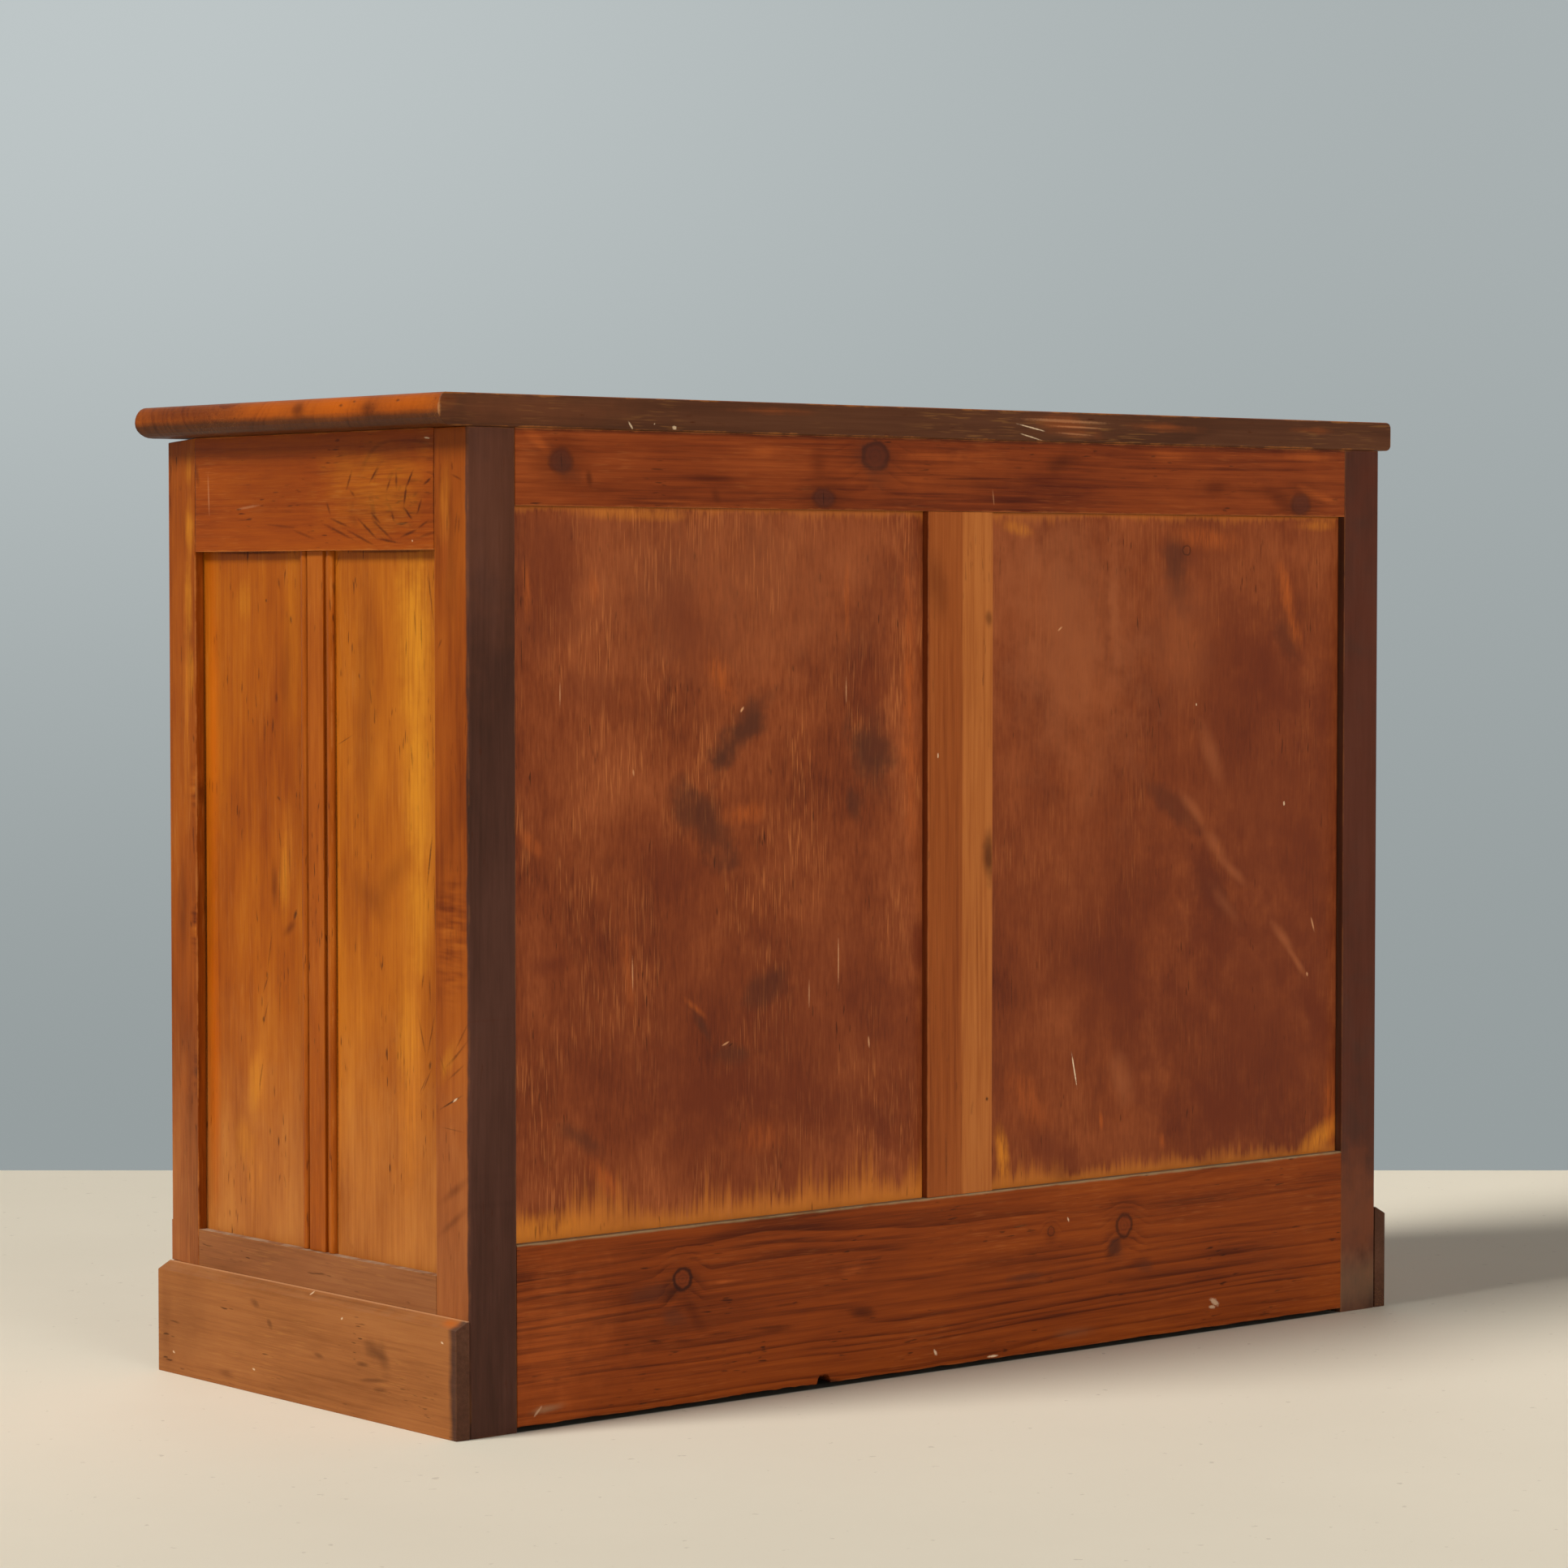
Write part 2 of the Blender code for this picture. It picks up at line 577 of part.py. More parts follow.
def build():
    clear_scene()
    stained = finish("stained_fir", (0.30, 0.10, 0.03), 0.35)
    honey = finish("honey_fir", (0.42, 0.18, 0.05), 0.35)
    dark = finish("dark_stain", (0.06, 0.03, 0.02), 0.5)
    ply = finish("stained_plywood", (0.19, 0.05, 0.02), 0.45)
    plain = finish("plain_fir", (0.45, 0.28, 0.13), 0.55)
    cloth = finish("canvas", (0.42, 0.36, 0.26), 0.9)

    # The body's middle is set so that the overhanging top is centred on the origin.
    centre = ((TOP_PAST_LEFT - TOP_PAST_RIGHT) / 2, (TOP_PAST_FRONT - TOP_PAST_REAR) / 2, 0)
    carcass = empty("carcass", None, centre)
    top_board(stained, carcass)
    for side, hand in ((1, "right"), (-1, "left")):
        rear_post(f"rear_post_{hand}", side, dark, carcass)
        front_stile(f"front_stile_{hand}", side, honey, carcass)
        side_frame(side, carcass, {"rail": honey, "low_rail": honey, "muntin": honey, "panel": honey})
        track_cheek(f"track_cheek_{hand}", side, honey, carcass)
    back_frame(carcass, {"rail": stained, "low_rail": stained, "muntin": stained, "panel": ply})
    plinth(carcass, honey)
    front_rails(carcass, honey)
    inside_boards(carcass, {"inside": plain, "panel": plain})

    lift = empty("tambour_lift", carcass, (0, TRACK_FRONT, SILL_TOP))
    lift_bar(lift, {"bar": honey, "knob": honey})
    curtain(lift, {"slat": honey, "canvas": cloth})


build()
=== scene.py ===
import math
import bmesh
import bpy
from mathutils import Euler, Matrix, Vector, noise


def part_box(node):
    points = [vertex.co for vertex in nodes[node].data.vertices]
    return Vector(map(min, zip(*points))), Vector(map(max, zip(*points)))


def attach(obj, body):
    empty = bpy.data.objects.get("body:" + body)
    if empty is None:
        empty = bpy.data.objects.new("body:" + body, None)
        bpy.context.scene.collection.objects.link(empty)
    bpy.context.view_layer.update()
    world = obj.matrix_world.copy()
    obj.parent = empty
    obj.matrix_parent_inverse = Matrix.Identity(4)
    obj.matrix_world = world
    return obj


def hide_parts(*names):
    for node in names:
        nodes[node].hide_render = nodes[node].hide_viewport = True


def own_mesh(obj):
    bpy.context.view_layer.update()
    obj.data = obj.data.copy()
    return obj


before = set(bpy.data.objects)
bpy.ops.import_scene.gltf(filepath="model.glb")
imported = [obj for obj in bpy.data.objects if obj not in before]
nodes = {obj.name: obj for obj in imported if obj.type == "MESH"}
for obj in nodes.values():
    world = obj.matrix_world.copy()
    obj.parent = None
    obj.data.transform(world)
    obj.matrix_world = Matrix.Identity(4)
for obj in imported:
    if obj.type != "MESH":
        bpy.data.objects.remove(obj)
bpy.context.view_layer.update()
mm = 0.001  # marks, knots, ripples and swirls are written in millimetres
print("frame loaded,", len(nodes), "nodes")


# node helpers; they all work on the tree that was started last
work = {"tree": None}


def tone(red, green, blue):
    # a colour as on a paint card, 0 to 255
    levels = [level / 255 for level in (red, green, blue)]
    return (*[v / 12.92 if v <= 0.04045 else ((v + 0.055) / 1.055) ** 2.4 for v in levels], 1.0)


def feed(node, feeds):
    for key, value in feeds.items():
        if isinstance(value, bpy.types.NodeSocket):
            work["tree"].links.new(value, node.inputs[key])
        else:
            node.inputs[key].default_value = value
    return node


def put(kind, feeds=None, **settings):
    node = work["tree"].nodes.new("ShaderNode" + kind)
    for key, value in settings.items():
        setattr(node, key, value)
    return feed(node, feeds or {})


def calc(how, *terms):
    return put("Math", dict(enumerate(terms)), operation=how).outputs[0]


def times(value, by):
    return calc("MULTIPLY", value, by)


def plus(value, more):
    return calc("ADD", value, more)


def less(value, part):
    return calc("SUBTRACT", value, part)


def scaled(value, by, onto):
    return calc("MULTIPLY_ADD", value, by, onto)


def vec(how, *terms):
    node = put("VectorMath", dict(enumerate(terms)), operation=how)
    return node.outputs["Value" if how in ("LENGTH", "DOT_PRODUCT") else "Vector"]


def split(vector):
    return put("SeparateXYZ", {0: vector}).outputs


def join(x, y, z=0.0):
    return put("CombineXYZ", {0: x, 1: y, 2: z}).outputs[0]


def ease(value, start, end, low=0.0, high=1.0):
    feeds = {"Value": value, "From Min": start, "From Max": end, "To Min": low, "To Max": high}
    return put("MapRange", feeds, interpolation_type="SMOOTHSTEP").outputs[0]


def mottle(where, scale, detail=2.0, rough=0.5):
    # noise with its own scale on each axis, in marks per metre
    feeds = {"Vector": vec("MULTIPLY", where, scale), "Scale": 1.0, "Detail": detail, "Roughness": rough}
    return put("TexNoise", feeds).outputs["Fac"]


def sway(where, scale, detail=2.0, rough=0.5):
    # the same noise, round zero
    return less(mottle(where, scale, detail, rough), 0.5)


def layer(under, over, share, how="MIX"):
    return put("Mix", {0: share, 6: under, 7: over}, data_type="RGBA", blend_type=how).outputs[2]


def wash(under, tint, mask, share, how="MIX"):
    return layer(under, tone(*tint), times(mask, share), how)


def ramp(value, card):
    node = put("ValToRGB", {"Fac": value})
    stops = node.color_ramp.elements
    stops[0].color, stops[1].color = tone(*card[0]), tone(*card[-1])
    for i in range(1, len(card) - 1):
        stops.new(i / (len(card) - 1)).color = tone(*card[i])
    return node.outputs["Color"]


def startGroup(name, **takes):
    group = work["tree"] = bpy.data.node_groups.new(name, "ShaderNodeTree")
    for label, value in {"place": (0, 0, 0), **takes}.items():
        kind = "NodeSocketVector" if isinstance(value, tuple) else "NodeSocketFloat"
        group.interface.new_socket(label, in_out="INPUT", socket_type=kind).default_value = value
    return group.nodes.new("NodeGroupInput").outputs


def endGroup(**gives):
    group = work["tree"]
    for label in gives:
        group.interface.new_socket(label, in_out="OUTPUT", socket_type="NodeSocketFloat")
    feed(group.nodes.new("NodeGroupOutput"), gives)
    return group


def place(group, where, **feeds):
    return put("Group", {"place": where, **feeds}, node_tree=group).outputs


# growth rings round a heart at zero, with the grain along z
def makeRingFigure():
    take = startGroup("ringFigure", spacing=0.006, wander=0.01, flow=1.0, warp=0.0, short=1.0)
    where, spacing = take["place"], take["spacing"]
    slow = sway(where, join(5.0, 5.0, take["flow"]), rough=0.45)
    quick = sway(where, (60, 60, 5))
    radius = vec("LENGTH", vec("MULTIPLY", where, (1, 1, 0)))
    swing = times(slow, times(take["wander"], 2.0))
    shake = times(quick, times(spacing, 0.5))
    out = plus(plus(radius, swing), plus(shake, take["warp"]))
    years = calc("DIVIDE", out, spacing)
    feeds = {"W": times(years, 0.37), "Scale": 1.0, "Detail": 0.0}
    uneven = put("TexNoise", feeds, noise_dimensions="1D").outputs["Fac"]
    years = plus(years, times(uneven, 2.2))
    season = calc("FRACT", years)
    year = put("TexWhiteNoise", {"W": calc("FLOOR", years)}, noise_dimensions="1D").outputs["Value"]
    late = times(ease(season, 0.30, 0.90), ease(season, 0.93, 1.0, 1.0, 0.0))
    late = times(late, scaled(year, 0.7, 0.3))
    late = times(late, ease(mottle(where, (26, 26, 2.2)), 0.36, 0.60, 0.2, 1.0))
    strands = vec("MULTIPLY", where, join(1.0, 1.0, take["short"]))
    fine = mottle(strands, (900, 900, 16), rough=0.65)
    coarse = mottle(strands, (280, 280, 7), rough=0.6)
    return endGroup(late=late, fibre=scaled(coarse, 0.6, times(fine, 0.4)))


# one mark at a place: a blotch, a scratch, a worn spot
def makeMark():
    take = startGroup("mark", centre=(0, 0, 0), reach=(1, 1, 1), facing=(0, 1, 0), turn=0.0, soft=0.5, tear=0.0)
    away = vec("SUBTRACT", take["place"], take["centre"])
    feeds = {"Vector": away, "Axis": take["facing"], "Angle": take["turn"]}
    turned = put("VectorRotate", feeds, rotation_type="AXIS_ANGLE").outputs[0]
    distance = plus(vec("LENGTH", vec("MULTIPLY", turned, take["reach"])), take["tear"])
    return endGroup(mask=ease(distance, less(1.0, take["soft"]), 1.0, 1.0, 0.0))


# a knot, with the grain bent round it
def makeKnot():
    take = startGroup("knot", centre=(0, 0, 0), reach=(1, 1, 1))
    spread = vec("MULTIPLY", vec("SUBTRACT", take["place"], take["centre"]), take["reach"])
    unlike = vec("MULTIPLY", take["centre"], (41, 41, 41))  # no two knots are torn alike
    torn = mottle(vec("ADD", spread, unlike), (1.4, 1.4, 1.4))
    distance = plus(vec("LENGTH", spread), scaled(torn, 0.5, -0.25))
    rim = times(ease(distance, 0.72, 0.95), ease(distance, 1.0, 1.3, 1.0, 0.0))
    rings = scaled(calc("SINE", times(distance, 17.0)), 0.5, 0.5)
    core, halo = ease(distance, 0.75, 1.05, 1.0, 0.0), ease(distance, 0.7, 3.6, 1.0, 0.0)
    return endGroup(core=core, rim=rim, halo=halo, rings=rings)


# a ragged band along the arrises of a board
def makeArris():
    take = startGroup("arris", low=(0, 0, 0), high=(1, 1, 1), width=0.002)
    inset = vec("MINIMUM", vec("SUBTRACT", take["place"], take["low"]), vec("SUBTRACT", take["high"], take["place"]))
    x, y, z = split(inset)
    farther = calc("MINIMUM", calc("MAXIMUM", x, y), z)
    nearest = calc("MAXIMUM", calc("MINIMUM", x, y), farther)
    worn = mottle(take["place"], (24, 24, 24), 4.0, 0.7)
    width = times(take["width"], ease(worn, 0.36, 0.72, 0.15, 1.6))
    return endGroup(mask=ease(nearest, 0.0, width, 1.0, 0.0))


# cloudy stain, short pale flecks and small dark pores, with the grain along z
def makeStain():
    take = startGroup("stain", size=1.0, long=1.0)
    where, size = take["place"], take["size"]
    wide = vec("DIVIDE", where, join(size, size, times(size, take["long"])))
    cloud = mottle(wide, (8, 8, 6), 6.0, 0.58)
    streak = mottle(where, (170, 170, 3.5), 3.0, 0.6)
    dashes = mottle(where, (760, 760, 36), 1.0)
    sparse = mottle(where, (16, 16, 8))
    fleck = times(ease(dashes, 0.54, 0.72), ease(sparse, 0.40, 0.66))
    dots = mottle(vec("ADD", where, (3, 5, 7)), (330, 330, 48), 1.0)
    seldom = mottle(vec("ADD", where, (9, 2, 4)), (26, 26, 12), 1.0)
    pore = times(ease(dots, 0.64, 0.74), ease(seldom, 0.50, 0.66))
    return endGroup(cloud=cloud, streak=streak, fleck=fleck, pore=pore)


# bare, ragged strip where the stain stopped short of a panel's end
def makeFringe():
    take = startGroup("fringe", level=0.0, up=1.0, depth=0.02)
    where = take["place"]
    away = times(less(split(where)[2], take["level"]), take["up"])
    comb = mottle(where, (260, 260, 5), 3.0, 0.6)
    waves = mottle(where, (11, 11, 0.1))
    reach = times(ease(waves, 0.36, 0.62, 0.5, 1.3), take["depth"])
    reach = times(reach, ease(comb, 0.25, 0.72, 0.35, 1.5))
    return endGroup(mask=ease(away, 0.0, reach, 1.0, 0.0))


# dark dashes in arcs round a centre on a side face
def makeSwirl():
    take = startGroup("swirl", centre=(0, 0, 0), reach=(1, 1, 1), turns=6.0)
    spread = vec("MULTIPLY", vec("SUBTRACT", take["place"], take["centre"]), take["reach"])
    bent = mottle(spread, (0.9, 0.9, 0.9), 1.0)
    distance = scaled(bent, 0.7, less(vec("LENGTH", spread), 0.35))
    parts = split(spread)
    turns = times(distance, take["turns"])
    arcs = calc("SINE", times(turns, 2 * math.pi))
    strip = join(times(calc("ARCTAN2", parts[2], parts[1]), 1.5), times(turns, 1.1))
    broken = ease(mottle(strip, (1, 1, 1), 3.0, 0.6), 0.44, 0.60)
    mask = times(ease(arcs, 0.5, 1.0), broken)
    return endGroup(mask=times(mask, ease(distance, 0.7, 1.1, 1.0, 0.0)))


# dust on what faces up
def makeDust():
    take = startGroup("dust")
    up = split(put("NewGeometry").outputs["Normal"])[2]
    lying = ease(mottle(take["place"], (60, 60, 60), 4.0, 0.7), 0.30, 0.62)
    return endGroup(mask=times(ease(up, 0.35, 0.8), lying))


ringFigure, markGroup, knotGroup = makeRingFigure(), makeMark(), makeKnot()
arrisGroup, stainGroup, dustGroup = makeArris(), makeStain(), makeDust()
fringeGroup, swirlGroup = makeFringe(), makeSwirl()
print("shared wood groups made")


# grain runs along one axis of the frame; turn it onto z
grainTurns = {"x": (0, -math.pi / 2, 0), "y": (math.pi / 2, 0, 0), "z": (0, 0, 0)}
facings = {"x": (1, 0, 0), "y": (0, 1, 0)}

# kinds of mark that the finishes share; torn is how uneven the outline is
markKinds = {
    "blotch": {"tint": (132, 118, 120), "how": "MULTIPLY", "soft": 0.9, "grow": 1.3, "torn": 0.9},
    "shade": {"tint": (186, 172, 168), "how": "MULTIPLY", "soft": 1.0, "grow": 1.4, "torn": 0.7},
    "smoke": {"tint": (70, 38, 26), "soft": 0.8, "grow": 1.6, "torn": 1.5},
    "cloud": {"tint": (98, 41, 22), "soft": 1.0, "grow": 1.7, "torn": 1.3},
    "light": {"tint": (160, 90, 52), "soft": 1.0, "grow": 1.5, "torn": 1.2},
    "warm": {"tint": (178, 88, 34), "soft": 1.0, "grow": 1.4, "torn": 1.2, "grainy": True},
    "amber": {"tint": (206, 124, 36), "soft": 0.9, "grow": 1.3, "torn": 0.8, "grainy": True},
    "gold": {"tint": (208, 134, 32), "soft": 1.0, "grow": 1.5, "torn": 1.1, "grainy": True},
    "glow": {"tint": (192, 92, 6), "soft": 1.0, "grow": 1.4, "torn": 0.5},
    "dusty": {"tint": (150, 128, 96), "soft": 1.0, "grow": 1.3, "torn": 0.9},
    "vein": {"tint": (74, 27, 4), "soft": 0.9, "grow": 1.45, "torn": 0.7, "fine": True},
    "scratch": {"tint": (208, 150, 104), "soft": 0.7, "grow": 1.1, "torn": 0.6, "fine": True, "dent": 0.5},
    "chip": {"tint": (226, 196, 158), "soft": 0.6, "grow": 1.1, "torn": 1.0, "fine": True, "dent": 0.8},
    "crack": {"tint": (38, 15, 8), "soft": 0.8, "grow": 1.1, "torn": 0.7, "fine": True, "dent": 1.2},
}
tearScales = {"wide": (34, 34, 30), "fine": (420, 420, 420)}
curl = (16, 16, 120)
creepScale = (30, 30, 30)
relief = {"late": 0.25, "fibre": 0.6, "knotRim": -0.6, "depth": 0.0006}
dulling = {"fibre": 0.2, "worn": 0.15, "cloud": 0.25, "dust": 0.4}


def onFace(facing, across, up, deep=0.0):
    return (deep, across, up) if facing == "x" else (across, deep, up)


def spot(facing, across, up, wide, tall, level=0.0, thin=0.0):
    # centre and reach of a mark on a face, from millimetres
    return onFace(facing, across * mm, up * mm, level), onFace(facing, 1 / (wide * mm), 1 / (tall * mm), thin)


def grainPlace(coords, box, look):
    turn = Euler(grainTurns[look["along"]])
    middle = turn.to_matrix() @ ((Vector(box[0]) + Vector(box[1])) / 2)
    shift = Vector((*look["heart"], look["seed"])) - middle
    return put("Mapping", {"Vector": coords, "Rotation": turn, "Location": shift}).outputs[0]


def newFinish(name):
    material = bpy.data.materials.new(name)
    material.use_nodes = True
    tree = work["tree"] = material.node_tree
    return material, tree.nodes["Principled BSDF"], put("TexCoord").outputs["Object"]


def bump(height, strength, depth):
    return put("Bump", {"Strength": strength, "Distance": depth, "Height": height}).outputs["Normal"]


def boardFinish(name, box, look):
    material, shader, coords = newFinish(name)
    grain = grainPlace(coords, box, look)
    facing = look["facing"]

    # knots first, because the rings bend round them
    knots, warp = [], 0.0
    for knot in look.get("knots", []):
        centre, reach = spot(facing, *knot["at"])
        outs = place(knotGroup, coords, centre=centre, reach=reach)
        knots.append((knot, outs))
        warp = scaled(outs["halo"], knot["bend"], warp)
    figure = {key: look[key] for key in ("spacing", "wander", "flow", "short")}
    rings = place(ringFigure, grain, warp=warp, **figure)
    stain = place(stainGroup, grain, size=look["cloudSize"], long=look["cloudLong"])

    # one shade value from rings, fibre and cloudy stain, then the colours of the finish
    shade = scaled(rings["late"], -look["late"], 0.5 + 0.12 * look["late"])
    for source, key in ((rings, "fibre"), (stain, "cloud"), (stain, "streak")):
        shade = scaled(less(source[key], 0.5), look[key], shade)
    tears = {size: sway(coords, scale, 3.0, 0.6) for size, scale in tearScales.items()}

    def markMask(kind, centre, reach, turn=0.0):
        mark = markKinds[kind]
        tear = times(tears["fine" if mark.get("fine") else "wide"], mark["torn"])
        reach = [r / mark["grow"] for r in reach]
        return place(markGroup, coords, centre=centre, reach=reach, facing=facings[facing],
                     turn=math.radians(turn), soft=mark["soft"], tear=tear)["mask"]

    figured = shade
    for *at, share in look.get("ripples", []):  # curly grain
        held = times(sway(grain, curl), markMask("shade", *spot(facing, *at)))
        figured = scaled(held, share, figured)
    colour = ramp(figured, look["card"])

    for over in look.get("covers", []):
        level = scaled(sway(coords, creepScale, 3.0), over["creep"], split(coords)[over["axis"]])
        mask = times(ease(level, over["start"], over["end"]), over["share"])
        colour = layer(colour, ramp(shade, over["card"]), mask)
    for level, up, depth, share in look.get("fringes", []):
        bare = place(fringeGroup, coords, level=level, up=up, depth=depth)["mask"]
        colour = wash(colour, look["fringe"], bare, share)
    for *at, turns, share in look.get("swirls", []):
        centre, reach = spot(facing, *at)
        dashes = place(swirlGroup, coords, centre=centre, reach=reach, turns=turns)["mask"]
        colour = wash(colour, look["pore"], dashes, share)

    colour = wash(colour, look["pore"], stain["pore"], look["pores"])
    colour = wash(colour, look["fleck"], stain["fleck"], look["flecks"])
    height = scaled(rings["late"], relief["late"], times(rings["fibre"], relief["fibre"]))
    for knot, outs in knots:
        colour = wash(colour, knot["halo"], outs["halo"], knot["haloShare"], "MULTIPLY")
        core = wash(tone(*knot["core"]), knot["rim"], outs["rings"], 0.35)
        colour = layer(colour, core, times(outs["core"], knot["coreShare"]))
        colour = wash(colour, knot["rim"], outs["rim"], knot["rimShare"])
        height = scaled(outs["rim"], relief["knotRim"], height)

    # marks in the order of the list, the later ones on top
    level, thin = look.get("surface", (0.0, 0.0))
    spots = [(kind, *spot(facing, *at, level, thin), turn, percent / 100)
             for kind, *rows in look.get("marks", []) for *at, turn, percent in rows]
    spots += [(kind, [c * mm for c in centre], [1 / (r * mm) for r in reach], 0.0, percent / 100)
              for kind, centre, reach, percent in look.get("spots", [])]
    for kind, centre, reach, turn, share in spots:
        mark = markKinds[kind]
        mask = markMask(kind, centre, reach, turn)
        amount = times(mask, share)
        if mark.get("grainy"):
            amount = times(amount, ease(rings["fibre"], 0.36, 0.60, 0.35, 1.0))
        colour = layer(colour, tone(*mark["tint"]), amount, mark.get("how", "MIX"))
        if "dent" in mark:
            height = scaled(mask, -mark["dent"], height)

    worn = place(arrisGroup, coords, low=box[0], high=box[1], width=look["arris"])["mask"]
    colour = wash(colour, look["bare"], worn, look["wear"])
    rough = scaled(rings["fibre"], dulling["fibre"], look["rough"] - dulling["fibre"] / 2)
    rough = scaled(worn, dulling["worn"], rough)
    rough = scaled(less(stain["cloud"], 0.5), dulling["cloud"], rough)
    if look.get("dust"):
        lying = times(place(dustGroup, coords)["mask"], look["dust"])
        colour = layer(colour, tone(*look["dustTint"]), lying)
        rough = scaled(lying, dulling["dust"], rough)
    feed(shader, {"Base Color": colour, "Roughness": rough, "Specular IOR Level": look["specular"],
                  "Normal": bump(height, look["bump"], relief["depth"])})
    return material


edges = {
    "joined": 0.00001, "flat": math.radians(1), "arris": 0.0008, "bevelSteps": 2, "corner": math.radians(40),
    "smooth": math.radians(35),
}


def dress(name, look, arris=edges["arris"]):
    node = nodes[name]
    node.material_slots[0].material = boardFinish(name + "Finish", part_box(name), look)
    joined = node.modifiers.new("joinedCorners", "WELD")
    joined.merge_threshold = edges["joined"]
    plain = node.modifiers.new("plainFaces", "DECIMATE")
    plain.decimate_type, plain.angle_limit = "DISSOLVE", edges["flat"]
    eased = node.modifiers.new("easedArrises", "BEVEL")
    eased.width, eased.segments = arris, edges["bevelSteps"]
    eased.limit_method, eased.angle_limit = "ANGLE", edges["corner"]


def newPiece(name, shape, finish, cad):
    mesh = bpy.data.meshes.new(name)
    shape.to_mesh(mesh)
    shape.free()
    mesh.shade_smooth()
    mesh.set_sharp_from_angle(angle=edges["smooth"])
    mesh.materials.append(finish)
    piece = bpy.data.objects.new(name, mesh)
    bpy.context.scene.collection.objects.link(piece)
    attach(piece, "carcass")
    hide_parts(cad)
    return piece


def skin(shape, loops):
    # a skin over loops of equally many points, capped at both ends
    rings = [[shape.verts.new(point) for point in loop] for loop in loops]
    for lower, upper in zip(rings, rings[1:]):
        for i in range(len(lower)):
            j = (i + 1) % len(lower)
            shape.faces.new((lower[i], lower[j], upper[j], upper[i]))
    shape.faces.new(rings[0])
    shape.faces.new(rings[-1])
    bmesh.ops.recalc_face_normals(shape, faces=shape.faces)
    return shape


def cover(axis, start, end, card, creep=0.0, share=1.0):
    # another colour past a line, creeping a little to and fro
    return {"axis": "xyz".index(axis), "start": start, "end": end, "card": card, "creep": creep, "share": share}


# finishes of the woods; each card goes from the deepest to the palest shade
honey = {
    "along": "z", "facing": "x", "heart": (0.03, 0.09), "seed": 0.0,
    "spacing": 0.007, "wander": 0.012, "flow": 0.7, "short": 1.5,
    "late": 0.06, "fibre": 0.5, "cloud": 1.0, "cloudSize": 0.45, "cloudLong": 3.0, "streak": 0.10,
    "card": [(80, 29, 2), (128, 54, 5), (159, 80, 11), (180, 101, 19), (206, 136, 42)],
    "pore": (66, 24, 4), "pores": 0.8, "fleck": (214, 150, 76), "flecks": 0.12,
    "bare": (200, 128, 58), "arris": 0.002, "wear": 0.4,
    "rough": 0.36, "bump": 0.22, "specular": 0.08, "dustTint": (176, 150, 122),
}
framing = {
    **honey, "heart": (0.02, 0.05), "spacing": 0.006, "short": 2.0, "cloud": 0.9, "cloudSize": 0.4, "streak": 0.15,
    "card": [(66, 23, 2), (110, 45, 5), (143, 68, 12), (165, 87, 21), (194, 120, 44)],
    "bare": (192, 118, 54), "wear": 0.5,
}
duller = {
    **honey, "along": "y", "cloud": 0.8, "cloudSize": 0.6,
    "card": [(76, 41, 18), (121, 69, 30), (153, 94, 48), (168, 109, 60), (186, 132, 86)],
    "pore": (70, 36, 14), "bare": (186, 132, 82), "arris": 0.0015, "wear": 0.05, "rough": 0.52, "dust": 0.25,
}
redBrown = {
    **honey, "along": "x", "facing": "y", "heart": (0.09, 0.03),
    "spacing": 0.0056, "wander": 0.009, "flow": 1.7, "short": 1.0,
    "late": 0.4, "fibre": 0.7, "cloud": 0.7, "cloudSize": 1.0, "streak": 0.3,
    "card": [(40, 11, 2), (84, 30, 9), (124, 54, 19), (147, 70, 28), (178, 100, 46)],
    "pore": (44, 16, 6), "fleck": (190, 118, 62), "flecks": 0.15,
    "bare": (180, 108, 56), "wear": 0.35, "rough": 0.46, "specular": 0.14,
}
plainFir = {
    **honey, "facing": "y", "late": 0.35, "cloud": 0.35, "cloudSize": 1.0,
    "card": [(150, 104, 58), (188, 142, 88), (210, 168, 112), (222, 184, 130), (232, 200, 152)],
    "pore": (130, 84, 44), "fleck": (234, 206, 160), "bare": (228, 196, 146), "rough": 0.6, "wear": 0.3,
}
blackBrown = [(38, 21, 15), (58, 35, 25), (78, 49, 35), (96, 63, 46), (124, 88, 64)]
# painted shade: thin dark lines where one part runs in under the next
paintedSeamShade = [(30, 10, 4), (44, 15, 6), (60, 22, 9), (74, 30, 12), (92, 42, 18)]
fadedCard = [(96, 49, 16), (142, 80, 32), (176, 111, 55), (192, 131, 69), (212, 158, 96)]
faded = cover("z", 0.42, 0.15, fadedCard, creep=0.12, share=0.55)
fadedFraming = {**faded, "card": [(78, 40, 16), (118, 68, 33), (150, 92, 52), (168, 110, 66), (192, 138, 92)]}

